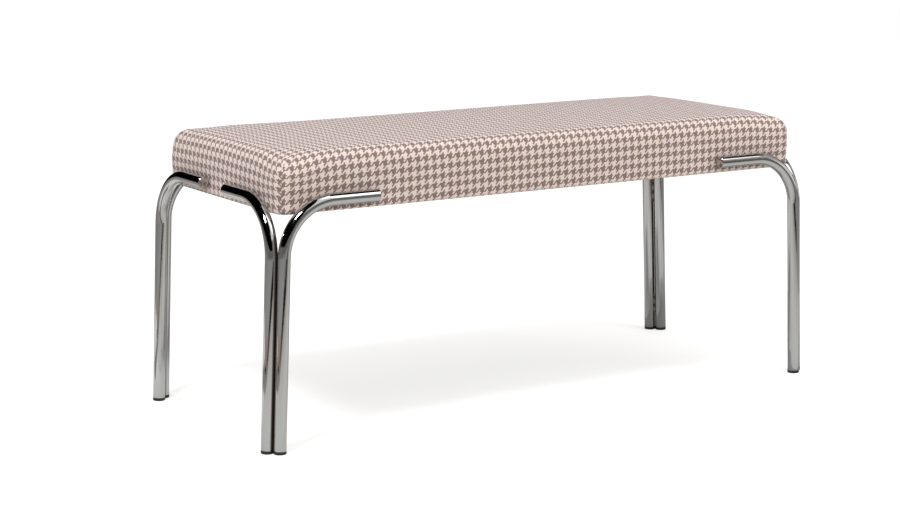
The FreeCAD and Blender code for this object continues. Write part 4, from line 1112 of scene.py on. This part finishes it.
sheet_x, sheet_y = np.meshgrid(cloth_x, cloth_y, indexing="ij")
sheet_z = cloth_high.z - CLOTH_THICKNESS / 2 - cloth_sag(sheet_x, sheet_y)
sheet_points = np.column_stack([sheet_x.ravel(), sheet_y.ravel(), sheet_z.ravel()])
sheet_number = np.arange(sheet_x.size).reshape(sheet_x.shape)
sheet_faces = turned_over(quads(sheet_number))
dust_cloth = new_piece("dust_cloth", sheet_points, sheet_faces.tolist(), dust_finish)
wall = dust_cloth.modifiers.new("thickness", "SOLIDIFY")
wall.thickness = CLOTH_THICKNESS
wall.offset = 0
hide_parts("dust_cover")
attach(dust_cloth, "root")

# %% [markdown]
# ## Staples
#
# Each staple is a flattened wire crown, ten millimetres long, pressed into the folded edge. One
# crown is a rounded wire carried along a short path whose ends turn down into the cloth. Its
# points are worked out once and then copied to every place as one array sum.

# %% Staple crowns
CROWN_LENGTH = 0.010
WIRE_WIDTH, WIRE_DEPTH = 0.0012, 0.0006
WIRE_SIDES = 6
CROWN_BELOW = 0.0001
TURN_SPREAD, PLACE_SPREAD = 0.05, 0.0012


def staple_crown():
    """Points of one crown along x, and its faces.

    The path goes up out of the cloth, bends over within a wire's depth, runs level and goes
    down again. Round each path point lies a flattened ring of the wire's width and depth.
    """
    path_x = np.array([-0.5, -0.5, -0.46, 0.46, 0.5, 0.5]) * CROWN_LENGTH
    path_z = np.array([1.5, 0.3, -0.5, -0.5, 0.3, 1.5]) * WIRE_DEPTH
    turn = np.linspace(0, 2 * math.pi, WIRE_SIDES, endpoint=False)
    lean = np.array([1.0, 1.0, 0.55, -0.55, -1.0, -1.0])
    points = np.dstack([
        path_x[:, None] + lean[:, None] * WIRE_DEPTH / 2 * np.sin(turn),
        WIRE_WIDTH / 2 * np.cos(turn)[None, :] + 0 * path_x[:, None],
        path_z[:, None] + (1 - np.abs(lean))[:, None] * WIRE_DEPTH * np.sin(turn),
    ]).reshape(-1, 3)
    ring_of = np.arange(len(path_x) * WIRE_SIDES).reshape(len(path_x), WIRE_SIDES)
    faces = quads(np.hstack([ring_of, ring_of[:, :1]]))
    return points, faces, [ring_of[0].tolist(), ring_of[-1][::-1].tolist()]


def staple_places(reach_x, reach_y):
    """Centres and turns of the staples along the four edges, evenly spaced."""
    along_x = np.arange(-reach_x + STAPLE_SPACING / 2, reach_x, STAPLE_SPACING)
    along_y = np.arange(-reach_y + STAPLE_SPACING / 2, reach_y, STAPLE_SPACING)
    long_edges = [(x, side * reach_y, 0.0) for side in (-1, 1) for x in along_x]
    short_edges = [(side * reach_x, y, math.pi / 2) for side in (-1, 1) for y in along_y]
    return np.array(long_edges + short_edges)


# %% All the staples
crown_points, crown_faces, crown_ends = staple_crown()
places = staple_places(cloth_high.x - STAPLE_INSET, cloth_high.y - STAPLE_INSET)
random = np.random.default_rng(7)
turns = places[:, 2] + random.normal(0, TURN_SPREAD, len(places))
shift = random.normal(0, PLACE_SPREAD, (len(places), 2))
cosine, sine = np.cos(turns)[:, None], np.sin(turns)[:, None]
staple_x = places[:, :1] + shift[:, :1] + cosine * crown_points[:, 0] - sine * crown_points[:, 1]
staple_y = places[:, 1:2] + shift[:, 1:] + sine * crown_points[:, 0] + cosine * crown_points[:, 1]
edge_sag = cloth_sag(places[:, 0], places[:, 1])[:, None]
staple_z = cloth_high.z - CLOTH_THICKNESS - edge_sag - CROWN_BELOW + crown_points[None, :, 2]
staple_points = np.dstack([staple_x, staple_y, staple_z]).reshape(-1, 3)
offsets = (np.arange(len(places)) * len(crown_points))[:, None, None]
staple_faces = (crown_faces[None] + offsets).reshape(-1, 4).tolist()
staple_faces += (np.array(crown_ends)[None] + offsets).reshape(-1, WIRE_SIDES).tolist()
staples = new_piece("dust_cloth_staples", staple_points, staple_faces, zinc)
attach(staples, "root")
print("staples:", len(places))
